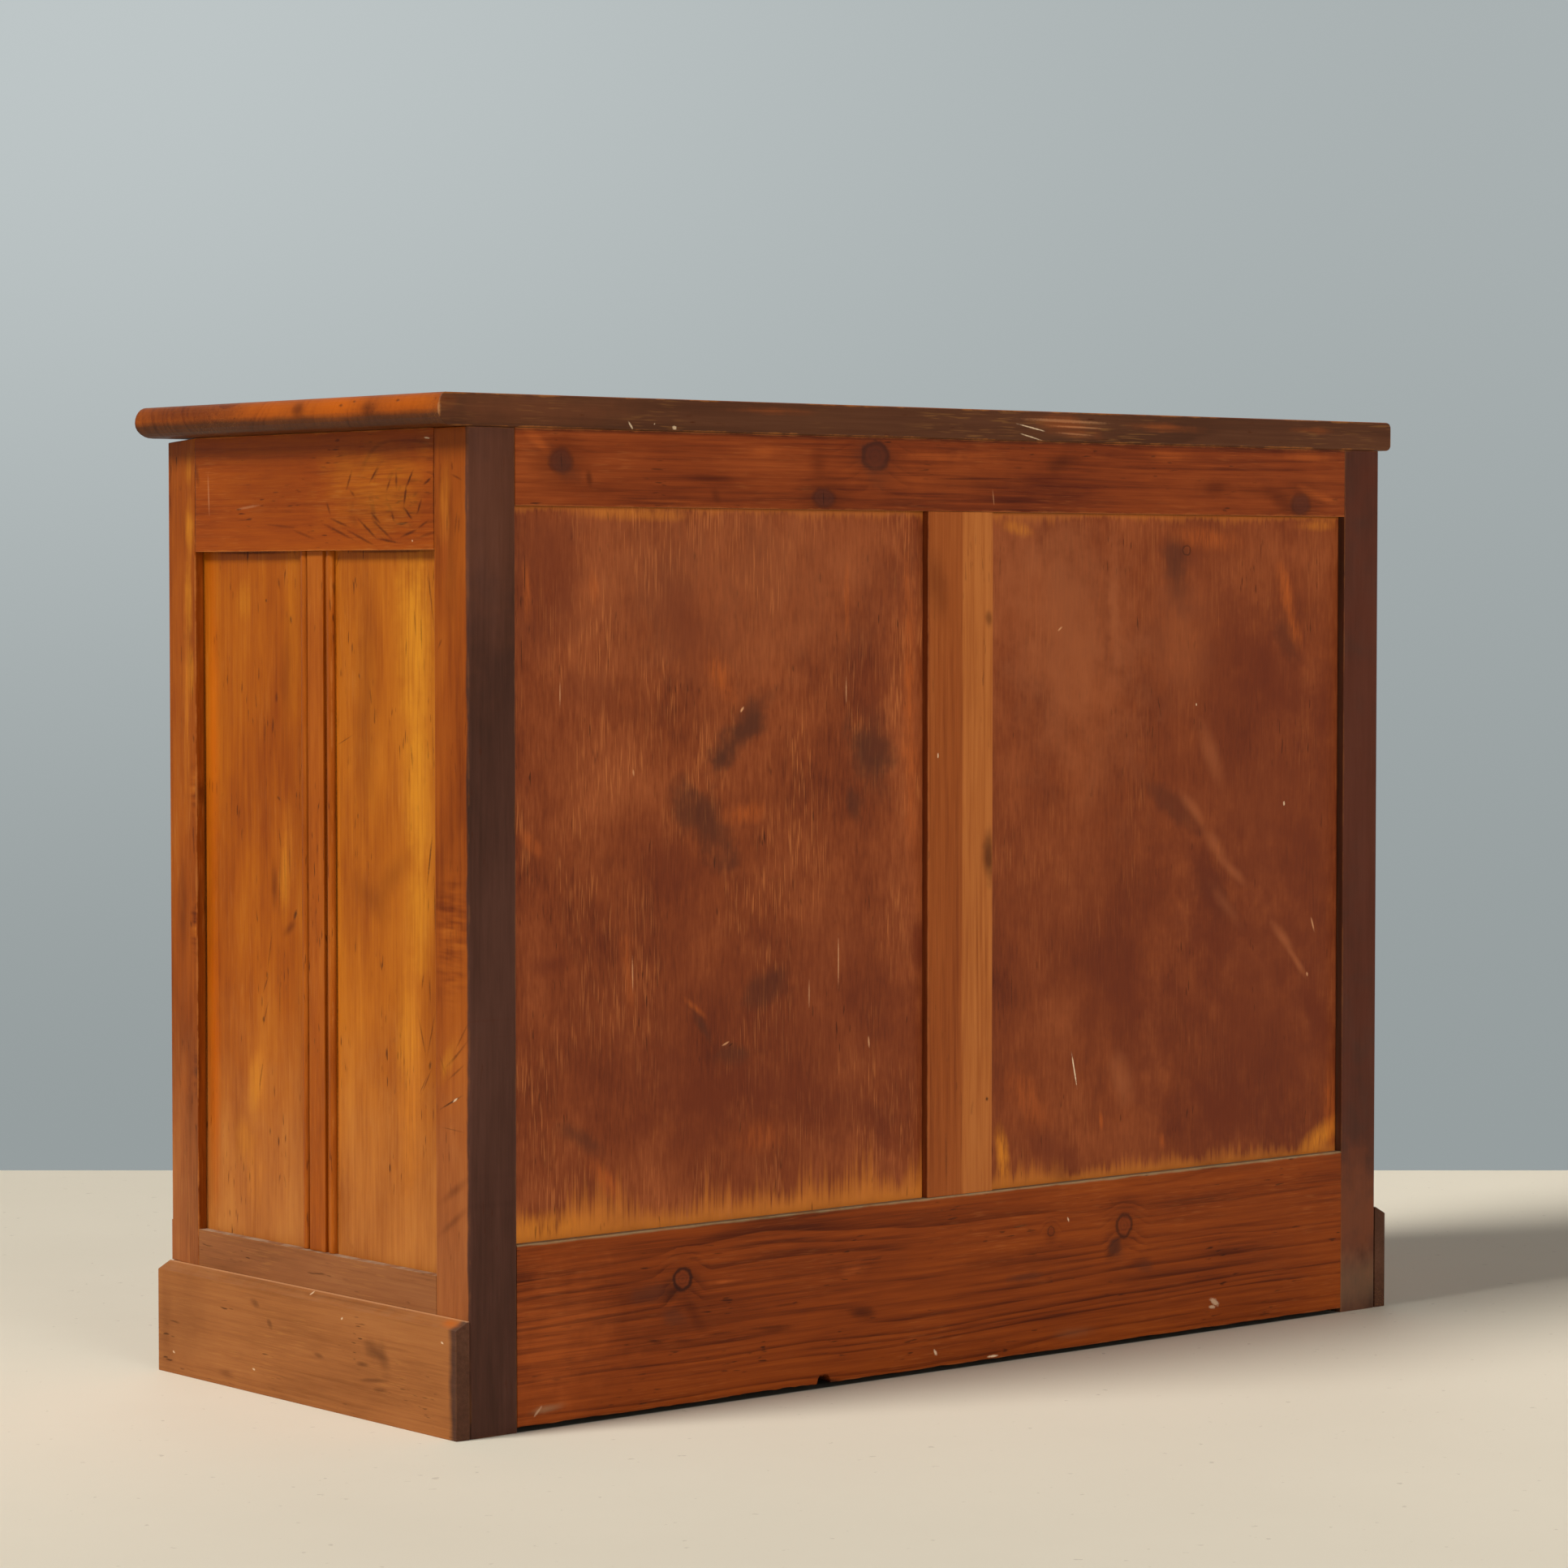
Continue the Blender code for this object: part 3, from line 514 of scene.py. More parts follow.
# marks of the right side, kind by kind; each is across, up, half width and half height in mm,
# turn in degrees and strength in percent
sideMarks = {
    "front_stile": [
        ("amber", (-215.6, 665.9, 6, 117.5, 0, 50), (-208.5, 830, 4, 70, 0, 40)),
        ("shade", (-225, 460, 10, 50, 0, 50)),
        ("gold", (-209.7, 888.4, 5.7, 15.9, -2, 50), (-208.8, 832.9, 7.4, 23.8, -1, 60),
         (-211, 761.5, 6, 31.8, -1, 60), (-208, 694, 5.9, 27.8, -2, 50)),
        ("vein", (-203.5, 626.5, 1.6, 4.1, -10, 60), (-199.7, 574.9, 1.8, 11.9, -3, 50))],
    "side_top_rail": [
        ("shade", (-60, 870, 90, 40, 0, 30)), ("gold", (110, 865, 90, 40, 0, 25)),
        ("vein", (163.4, 873.8, 1.6, 9.3, 35, 94), (156.2, 858.5, 1.9, 8.9, 12, 95),
         (161.1, 841.9, 1.5, 7.4, -50, 94), (178.7, 848.4, 1.6, 6.8, 27, 94), (191.8, 871.4, 1.4, 7.1, 64, 94),
         (202.5, 875.3, 1.6, 2.8, -42, 81), (142.3, 873.2, 1.9, 7.3, -2, 68), (130, 869.2, 1.6, 6.3, 31, 68),
         (106.2, 878.5, 1.5, 8.9, 44, 81), (65.7, 873.6, 1.7, 9.3, 27, 68), (71.3, 862, 1.5, 5.4, -54, 54),
         (31.6, 848.8, 1.7, 6.2, -28, 68), (50.4, 834.9, 1.3, 16.1, -75, 68), (48.4, 826.4, 1.4, 25.9, -73, 68),
         (95.5, 828.9, 1.5, 16.9, -58, 81), (109.2, 838.5, 1.5, 9.6, -56, 68), (136.6, 839.7, 1.7, 5, -23, 68),
         (129, 817.5, 1.2, 17.1, -83, 81), (161.7, 823.9, 1.4, 13.2, 76, 81), (184.5, 832, 1.3, 8.5, 67, 68),
         (83.4, 821, 1.3, 23.8, -72, 68), (120, 827.4, 1.5, 17.6, -60, 68), (-9.7, 824.3, 1.4, 19.5, -77, 47),
         (-47.9, 832.7, 1.2, 26.9, -86, 47)),
        ("chip", (190.9, 910.7, 0.8, 5.1, -84, 90), (167.3, 817.1, 0.9, 1.3, -74, 70)),
        ("blotch", (-195.1, 884.2, 4, 12.4, -16, 50)),
        ("scratch", (-174.2, 864.1, 1.4, 23.7, -3, 30), (-104.4, 851.4, 1.6, 22.7, 85, 25))],
    "side_panel_front": [
        ("shade", (-77.6, 485.9, 5.8, 23, 0, 80)),
        ("crack", (-41.6, 462, 3, 6.3, 27, 75), (-46.9, 743.3, 2, 4.7, -8, 60), (-89.3, 761.8, 2.2, 2.3, 0, 60),
         (-69.2, 572.5, 2, 4, -62, 50), (-97, 358, 2.6, 3.6, 1, 60), (-91, 401.3, 2, 3.9, 1, 50),
         (-86.7, 250, 1.3, 4.7, 1, 60)), ("shade", (-51.4, 448.2, 5.2, 13.8, 54, 80)),
        ("amber", (-55, 515.4, 11.9, 56.9, 4, 45), (-106, 302.6, 13.6, 33.5, 5, 40),
         (-111.9, 199.5, 16.7, 36.4, -1, 30)), ("shade", (-55, 692.1, 11, 65.4, 2, 40)),
        ("vein", (-68.3, 489.8, 1.3, 33.7, 3, 50), (-58.8, 498.9, 1.2, 24.8, -3, 50), (-93.4, 391.7, 1.1, 9, 29, 60),
         (-93.7, 363.3, 1.2, 12, 21, 50), (-102.1, 302.6, 1.2, 15, 14, 60), (-67.6, 534.2, 1.2, 10.8, -8, 50),
         (-51.4, 513.3, 1.3, 17.2, -1, 50), (-85.7, 424.8, 1.2, 18.1, 13, 50), (-68.9, 380.3, 1.2, 23.9, 1, 40),
         (-67.2, 778.6, 1.9, 5.5, -12, 50), (-72.3, 669.2, 2.1, 4.9, 5, 60), (-92.5, 635.8, 2, 9.8, 5, 40)),
        ("gold", (-127.5, 761.7, 12.2, 15.8, -5, 32), (-114.7, 290.1, 11, 32.3, 8, 40),
         (-59.4, 493.8, 8.3, 35.2, 3, 40), (-133.7, 233, 16.9, 23.8, 0, 28)),
        ("glow", (-183.2, 638.4, 10.3, 162.7, 0, 70), (-183.3, 332.1, 10.1, 159.7, 0, 60)),
        ("shade", (-14.3, 692.6, 13.9, 114, -1, 40))],
    "side_panel_rear": [
        ("amber", (149.6, 323.4, 18.3, 128, 2, 50)),
        ("crack", (179.1, 524.2, 1, 22.8, 8, 65), (184.8, 628.7, 0.8, 44.6, -1, 40), (178.7, 334.9, 2.6, 5.5, 14, 60),
         (167.7, 315.7, 0.9, 12.3, 36, 50), (42.8, 631, 0.6, 15.9, 69, 55)),
        ("shade", (121.4, 508.3, 14.4, 38.6, 54, 40)),
        ("crack", (63.8, 560.8, 1.3, 3.8, 1, 50), (66.7, 691.6, 1.5, 3.8, -10, 50)),
        ("gold", (156, 721.3, 24, 90, -1, 95), (159, 590.5, 20, 67.3, -1, 80), (163, 478.3, 19, 60, 1, 65),
         (143.4, 372, 17.2, 53.1, 4, 40)), ("glow", (26, 624.3, 6.8, 137.8, 0, 50), (26.6, 340.3, 6.6, 146.2, 0, 50)),
        ("shade", (81.8, 485.6, 16.2, 38.5, -62, 40), (77.7, 656.2, 20.7, 111.7, 0, 35)),
        ("vein", (179.3, 523.8, 1.1, 23.4, 11, 60), (187.2, 478.7, 1.2, 24.8, -2, 60),
         (166.6, 360.1, 1.1, 17.1, -18, 60), (180.5, 363.2, 1, 20, 17, 60), (173.6, 320.6, 1, 12.5, 33, 60),
         (167.5, 412.2, 1.1, 7.5, 10, 60), (178.7, 404.6, 1.1, 11.4, -3, 60), (182.5, 764.1, 1.1, 30.3, -10, 50),
         (157.1, 742.3, 1.1, 12.5, -6, 50), (167, 733.1, 1.2, 15.5, -2, 50), (143, 719.4, 1.1, 8.3, 3, 50),
         (151.2, 618.8, 1.1, 11.5, -8, 50), (190, 695.1, 1.2, 37.1, -1, 50), (32.8, 799.7, 1, 6, 28, 50))],
    "rear_post": [
        ("crack", (225.5, 305.6, 1.2, 22, 66, 75)), ("chip", (231.9, 308.4, 1.1, 4.4, 60, 80)),
        ("crack", (227.3, 280.9, 0.5, 20.9, -87, 50)),
        ("shade", (230.2, 225.1, 4.7, 26.8, 59, 60), (229.3, 197.1, 4, 28.8, 57, 60),
         (225.7, 806.7, 10.6, 69.5, -2, 50)), ("warm", (218.3, 828.8, 6, 42.8, 0, 40)),
        ("vein", (230, 884, 1.4, 3.9, -4, 55), (237.2, 874, 1.1, 8, -72, 60), (235.6, 832.9, 1.4, 10.8, 8, 50),
         (221.8, 833.6, 1.5, 8.2, 0, 50), (240.1, 831.8, 1.5, 7.7, 3, 50), (210.2, 723.2, 1.3, 6.3, 35, 50),
         (242.3, 367.2, 1.2, 16.9, 38, 50), (238, 352.3, 1.2, 17.7, 49, 50), (227.5, 344.8, 1.2, 13.2, 53, 50),
         (212.6, 338.4, 1.3, 9, -29, 50), (233.6, 333.9, 1.1, 13.4, 58, 50)),
        ("gold", (220, 342, 8, 20, 30, 40), (218, 850, 8, 35, 0, 25)), ("light", (253.5, 850, 4, 130, 0, 10))],
    "plinth": [
        # the glow is a painted highlight at the rear end of the bevel
        ("glow", (235, 105, 3.2, 14, -88, 60)), ("scratch", (0, 108.3, 600, 0.8, 0, 55)),
        ("shade", (-233.9, 36.4, 14.6, 50.9, -1, 40), (-127.5, 12.6, 4.7, 14, -88, 60)),
        ("blotch", (139.4, 62.5, 9.4, 22.7, -17, 25), (125.7, 65.7, 10.3, 20.7, -71, 60),
         (105.8, 51.7, 2.6, 12.5, 87, 60), (32.8, 50.7, 2.4, 9.2, -84, 50), (135.3, 31.4, 2, 12.4, 86, 50),
         (122.1, 38.7, 2, 28.5, 84, 50), (-74.8, 87, 3.8, 8.1, -75, 50), (-50.4, 70.4, 3.4, 6.3, -44, 50)),
        ("chip", (8.6, 106, 1.6, 1.9, -44, 80), (71.5, 90.5, 1.2, 2.4, 56, 70), (232.1, 87.9, 1.1, 2.6, -72, 80),
         (-220.8, 21.5, 1.2, 2.4, -67, 80), (-78.2, 23, 1.1, 2.9, -82, 70)), ("shade", (-200, 55, 50, 50, 0, 40))],
}
sideLooks = {
    "front_stile": {
        **framing, "heart": (0.01, 0.07),
        "covers": [fadedFraming, cover(
            "y", -0.2005, -0.1995, [(58, 20, 4), (96, 40, 8), (134, 62, 12), (170, 88, 22), (204, 122, 42)])],
        "ripples": [(-199, 440, 12, 30, 2.0), (-199, 575, 12, 25, 2.0), (-199, 300, 12, 30, 1.5)]},
    "side_top_rail": {
        **framing, "along": "y", "heart": (0.02, 0.01), "late": 0.1, "wander": 0.03, "cloudSize": 0.7,
        "card": [(68, 22, 2), (111, 43, 4), (144, 64, 9), (164, 82, 16), (192, 114, 38)],
        "swirls": [(166, 854.5, 120, 62, 5.0, 0.4)],
        # dark lines at the joints with the stiles
        "darkJointsAndShade": [("crack", (-198.2, 864.3, 1.1, 70, 0, 60), (200.7, 864.3, 1.1, 70, 0, 50))]},
    "side_bottom_rail": {
        **duller, "dust": 0.75,
        "card": [(70, 39, 18), (108, 62, 31), (138, 84, 47), (154, 100, 59), (178, 128, 88)]},
    "side_muntin": {
        **framing, "heart": (0.05, 0.02), "eased": 0.0005,  # the bead is small
        "card": [(78, 30, 4), (124, 54, 8), (156, 77, 15), (176, 96, 25), (200, 128, 48)],
        "darkJointsAndShade": [("crack", (16, 476.5, 1.8, 360, 0, 80), (-13.4, 476.5, 1.4, 360, 0, 50))]},
    # the dark lines along each panel's edges are painted shade in the recess beside the stile, muntin and rail
    "side_panel_front": {
        **honey, "heart": (0.06, -0.02), "covers": [faded],
        "darkJointsAndShade": [("crack", (-197.8, 476.5, 1.8, 360, 0, 80), (-113, 807.8, 90, 1.6, 0, 70))]},
    "side_panel_rear": {
        **honey, "heart": (0.06, 0.03), "covers": [faded],
        "card": [(88, 36, 4), (140, 65, 9), (171, 93, 18), (191, 113, 28), (214, 145, 51)],
        "darkJointsAndShade": [("crack", (28.8, 476.5, 1.6, 360, 0, 80), (116, 807.8, 90, 1.6, 0, 60))]},
    "rear_post": {
        **framing, "heart": (0.04, 0.05), "flecks": 0.0, "pores": 0.4, "wear": 0.12,
        "ripples": [(228, 455, 26, 62, 1.6)],
        "covers": [fadedFraming, cover(
            "y", 0.2490, 0.2520, [(38, 23, 16), (55, 33, 24), (71, 43, 33), (83, 52, 41), (104, 70, 56)], 0.005)]},
    "plinth": {
        **duller, "heart": (0.02, 0.06), "dust": 0.06,
        "covers": [cover("y", 0.240, 0.2495, blackBrown, creep=0.012)]},
}
leftPostMarks = [("cloud", (253.5, 550, 4, 500, 0, 40)), ("light", (253.5, 100, 4, 70, 0, 25)),
                 ("dusty", (253.5, 30, 4, 35, 0, 20))]
hands = {  # where the back's stain runs into the post's rebate, painted darker also for the rebate's shade, and where each board was cut from
    "right": {"rebate": 0.5388, "seed": 0.0, "cheek": 9.1, "bearer": 10.3},
    "left": {"rebate": -0.5558, "seed": 7.7, "cheek": 9.8, "bearer": 10.9},
}
stainedEdge = cover("y", -0.222, -0.230, framing["card"], creep=0.004)
for hand, side in hands.items():
    for number, (part, look) in enumerate(sideLooks.items()):
        marks = sideMarks.get(part, []) if hand == "right" else []
        if part == "rear_post":
            marks = marks or leftPostMarks
            # the rebate face dark: the back's stain and painted shade of the rebate
            edge = side["rebate"] + math.copysign(0.0012, side["rebate"])
            look = {**look, "covers": [*look["covers"], cover("x", edge, side["rebate"], blackBrown)]}
        marks = [*marks, *look.get("darkJointsAndShade", [])]
        look = {**look, "seed": 1.3 * number + side["seed"], "marks": marks}
        dress(f"{part}_{hand}", look, look.get("eased", edges["arris"]))
    dress(f"track_cheek_{hand}", {**plainFir, "facing": "x", "seed": side["cheek"], "covers": [stainedEdge]}, 0.0004)
    dress(f"shelf_bearer_{hand}", {**plainFir, "along": "y", "seed": side["bearer"]})
print("side frames dressed")

# back frame
smudge = {
    "bend": 0.004, "halo": (150, 136, 138), "haloShare": 0.45,
    "core": (66, 34, 26), "coreShare": 0.6, "rim": (48, 22, 16), "rimShare": 0.35,
}
ringed = {
    "bend": 0.012, "halo": (190, 176, 170), "haloShare": 0.3,
    "core": (116, 50, 22), "coreShare": 0.5, "rim": (42, 16, 8), "rimShare": 0.85,
}
topRailMarks = [
    ("warm", (510.2, 905.6, 6.1, 17.2, -57, 55), (241.3, 903.7, 5.3, 22.8, 89, 30)),
    ("shade", (176.7, 894, 10.6, 13.7, -9, 60), (-361.5, 877.3, 9.5, 30.3, -88, 80),
     (-454.6, 868.8, 11, 24.7, -63, 70)),
    ("blotch", (453.4, 875, 4.4, 8.9, -11, 60), (-139.9, 898.6, 11.4, 34.2, 79, 60),
     (303.4, 860.5, 6.4, 10.6, -28, 40)),
    ("crack", (485.4, 889.8, 0.7, 10, -4, 90), (170.5, 859.9, 0.8, 9.3, -3, 70)),
    ("scratch", (-50.6, 863, 0.9, 8.5, -7, 35)),
    ("shade", (307.7, 877.3, 5.3, 32.3, -89, 60), (449.6, 865.4, 5.8, 34, -88, 50)),
    ("warm", (-35.4, 905.6, 6.5, 39, 89, 35), (-503.4, 911.6, 6.6, 37.5, -86, 45), (-293.9, 907.9, 7, 42, -87, 40),
     (-516.1, 870.8, 5.2, 37.4, -74, 50), (353.5, 854.4, 3.8, 71.7, -88, 40)),
    ("shade", (-14, 878.9, 5.1, 48.3, -88, 50), (-424.4, 873.9, 6.7, 43.3, -83, 50)),
    ("warm", (28.9, 902.4, 4.8, 47.5, -88, 35), (20, 885, 120, 20, 0, 18)),
    ("smoke", (102.8, 899.2, 16.7, 25.9, -54, 35), (481.4, 886.8, 9.2, 19.6, -49, 40))]
topRail = {
    **redBrown, "seed": 0.4, "spacing": 0.011, "wander": 0.02,
    "late": 0.16, "cloud": 1.1, "cloudSize": 0.7, "streak": 0.15,
    # painted shade on the rail's top edge, under the top
    "covers": [cover("z", 0.9150, 0.9188, paintedSeamShade, creep=0.002, share=0.7)],
    "knots": [
        {**smudge, "at": (486.2, 890.5, 13, 11)},
        {**ringed, "at": (104.5, 901.2, 16, 13), "core": (84, 34, 18), "coreShare": 0.85, "rim": (58, 24, 14)},
        {**smudge, "at": (170, 860.2, 14, 9)}, {**smudge, "at": (-488, 861, 14, 11)}],
    "marks": topRailMarks,
}
dress("back_top_rail", topRail)
lowRailMarks = [
    ("chip", (-365.1, 30.4, 3.6, 8.4, -58, 50), (-361.6, 25.5, 2, 6, -84, 50), (-51.8, 7.3, 1.3, 7.7, -90, 80),
     (24.8, 19.2, 1.8, 4.1, -23, 70)),
    ("blotch", (121.8, 69, 6.6, 18.1, -84, 70), (379.5, 68.4, 1.6, 7.5, -84, 70), (-217.7, 98.7, 7.9, 16.3, 43, 60)),
    ("shade", (344.4, 64.7, 2.5, 11.3, -84, 60), (-253.6, 82.7, 5.3, 17, 83, 60), (-65.3, 99.8, 7.6, 68.2, -88, 50)),
    # the last two cracks darken the nick in the rail's lower edge, painted shade of the notch
    ("crack", (296, 67, 0.8, 17.9, 90, 50), (169.5, 6, 9, 8.5, 0, 100), (162, 4.5, 17, 4, 0, 100)),
    ("blotch", (230.8, 63.6, 4.5, 24.8, -88, 50), (359, 110.8, 7.9, 14.3, 67, 60)),
    ("dusty", (504.7, 18.6, 4.1, 19.5, 86, 40), (-162.8, 19.2, 6.5, 33.8, -89, 10)),
    ("smoke", (-221, 100.3, 8.2, 9.4, -38, 50), (-95.5, 82.7, 4.3, 18.4, 89, 40), (-263.2, 76.8, 6.4, 13.5, 90, 35)),
    ("chip", (515.1, 16.8, 1.4, 7.4, 45, 30), (-155.1, 135.3, 1.1, 2.8, -24, 80)),
    ("shade", (330.6, 88.7, 8, 19.5, -37, 70)),
    # the first warm mark is painted light: the rail lighter at its +x end
    ("warm", (490, 90, 75, 80, 0, 40), (292.5, 115.6, 2.1, 19.5, -89, 50), (130.2, 112.3, 6.8, 18.5, 89, 40)),
    ("vein", (374, 66.5, 1.8, 7.8, -89, 60), (303.6, 67.1, 1.4, 12.7, -90, 50)),
    ("smoke", (384.7, 114.6, 8.6, 24.7, 87, 40), (353.8, 88.2, 7.2, 13, -73, 40)),
    ("crack", (206, 87, 1, 4.6, 86, 60)),
    ("vein", (217.2, 86.2, 1.2, 16.2, 89, 60), (239.7, 66.7, 1.6, 32.2, -88, 50))]
dustCard = [(110, 90, 58), (128, 106, 72), (146, 122, 86), (160, 136, 102), (176, 154, 122)]
lowRail = {
    **redBrown, "seed": 1.9, "spacing": 0.009, "wander": 0.03, "flow": 1.6,
    "late": 0.24, "cloud": 0.8, "streak": 0.15, "dust": 0.8, "dustTint": (160, 140, 108),
    "card": [(40, 11, 2), (82, 29, 4), (124, 53, 12), (147, 69, 19), (178, 98, 38)],
    "covers": [cover("z", 0.1703, 0.1722, dustCard, creep=0.003, share=0.7)],
    "knots": [
        {**ringed, "at": (344.3, 123.2, 10.5, 10)}, {**ringed, "at": (-233.7, 122.2, 10.5, 11.5), "rimShare": 0.7},
        {**ringed, "at": (-131.3, 125.6, 4.5, 4.8), "rimShare": 0.5}],
    "marks": lowRailMarks,
}
wornEdge = {
    "wave": 0.0011, "ragged": 0.2, "slow": 24, "quick": 90, "quickShare": 0.6,
    "rough": 1.6, "roughScale": 60, "roughFrom": 0.17, "roughTo": 0.27,
    "nickAt": 0.1695, "nickWide": 0.0085, "nickDeep": 0.0095, "nickScale": 260, "nickStep": 0.0011, "nickSteps": 9,
    "ease": 0.0008, "steps": 220, "inside": 0.5,
}
joinery = {"tongue": 0.009, "tongueFrom": 0.238, "tongueTo": 0.244, "overlap": 0.001,
           "grooveFrom": 0.2377, "grooveTo": 0.2443, "grooveFloor": 0.164}


def wornAway(x):
    # how far the lower edge has gone at x: a little everywhere, more beside the broken place
    ragged = noise.noise((x * wornEdge["slow"], 0.7, 0))
    ragged += wornEdge["quickShare"] * noise.noise((x * wornEdge["quick"], 2.1, 0))
    gone = wornEdge["wave"] * max(0.0, ragged + wornEdge["ragged"])
    if wornEdge["roughFrom"] < x < wornEdge["roughTo"]:
        gone += wornEdge["rough"] * wornEdge["wave"] * abs(noise.noise((x * wornEdge["roughScale"], 5.3, 0)))
    off = (x - wornEdge["nickAt"]) / wornEdge["nickWide"]
    if abs(off) < 1:
        broken = 1 + 0.5 * noise.noise((x * wornEdge["nickScale"], 8.2, 0))
        gone += wornEdge["nickDeep"] * math.sqrt(1 - off * off) * broken
    return gone


def wornRail(low, high):
    e = wornEdge["ease"]
    first, last = low.x + joinery["tongue"], high.x - joinery["tongue"]
    steps, nickSteps = wornEdge["steps"], wornEdge["nickSteps"]
    stations = [first + (last - first) * i / steps for i in range(steps + 1)]
    stations += [wornEdge["nickAt"] + wornEdge["nickStep"] * i for i in range(-nickSteps, nickSteps + 1)]
    grooveFrom, grooveTo, grooveFloor = joinery["grooveFrom"], joinery["grooveTo"], joinery["grooveFloor"]
    loops = []
    for x in sorted(stations):
        gone = wornAway(x)
        inner, outer = low.z + wornEdge["inside"] * gone, low.z + gone
        section = [
            (low.y + e, inner), (high.y - e, outer), (high.y, outer + e), (high.y, high.z - e), (high.y - e, high.z),
            (grooveTo, high.z), (grooveTo, grooveFloor), (grooveFrom, grooveFloor), (grooveFrom, high.z),
            (low.y + e, high.z), (low.y, high.z - e), (low.y, inner + e)]
        loops.append([(x, y, z) for y, z in section])
    shape = skin(bmesh.new(), loops)
    near, far = joinery["tongueFrom"], joinery["tongueTo"]
    tongue = [(near, low.z), (far, low.z), (far, grooveFloor), (near, grooveFloor)]
    for ends in ((low.x, first + joinery["overlap"]), (last - joinery["overlap"], high.x)):
        skin(shape, [[(x, y, z) for y, z in tongue] for x in ends])
    return shape


low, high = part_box("back_bottom_rail")
railFinish = boardFinish("wornBottomRailFinish", (low, high), lowRail)
newPiece("worn_bottom_rail", wornRail(low, high), railFinish, "back_bottom_rail")

muntinMarks = [
    ("blotch", (-46.4, 505.6, 9.1, 27.4, -4, 90), (-46.2, 743.7, 5.5, 9.6, -8, 60)),
    ("shade", (22.3, 777.4, 14.6, 39.1, -13, 60)),
    ("crack", (-44.8, 265.6, 2.4, 2.5, 0, 80), (9.6, 211.1, 0.8, 34.3, -1, 50)),
    ("chip", (21.2, 609.2, 0.9, 3.2, 0, 80))]
muntin = {
    **redBrown, "along": "z", "seed": 2.2, "heart": (0.08, 0.06),
    "late": 0.12, "cloud": 0.7, "streak": 0.3, "pores": 0.3,
    "card": [(72, 26, 7), (112, 49, 16), (144, 73, 29), (160, 88, 40), (184, 114, 60)],
    "covers": [
        cover("x", -0.0095, -0.0125,
              [(88, 36, 11), (136, 67, 25), (168, 96, 43), (184, 112, 55), (200, 136, 77)], 0.001),
        # the muntin's +x edge face darker: its own dark colour and painted shade of the gap beside the panel
        cover("x", 0.0335, 0.0343, [(64, 24, 8), (92, 38, 14), (118, 54, 22), (140, 70, 32), (168, 94, 46)])],
    "marks": muntinMarks,
}
dress("back_muntin", muntin)

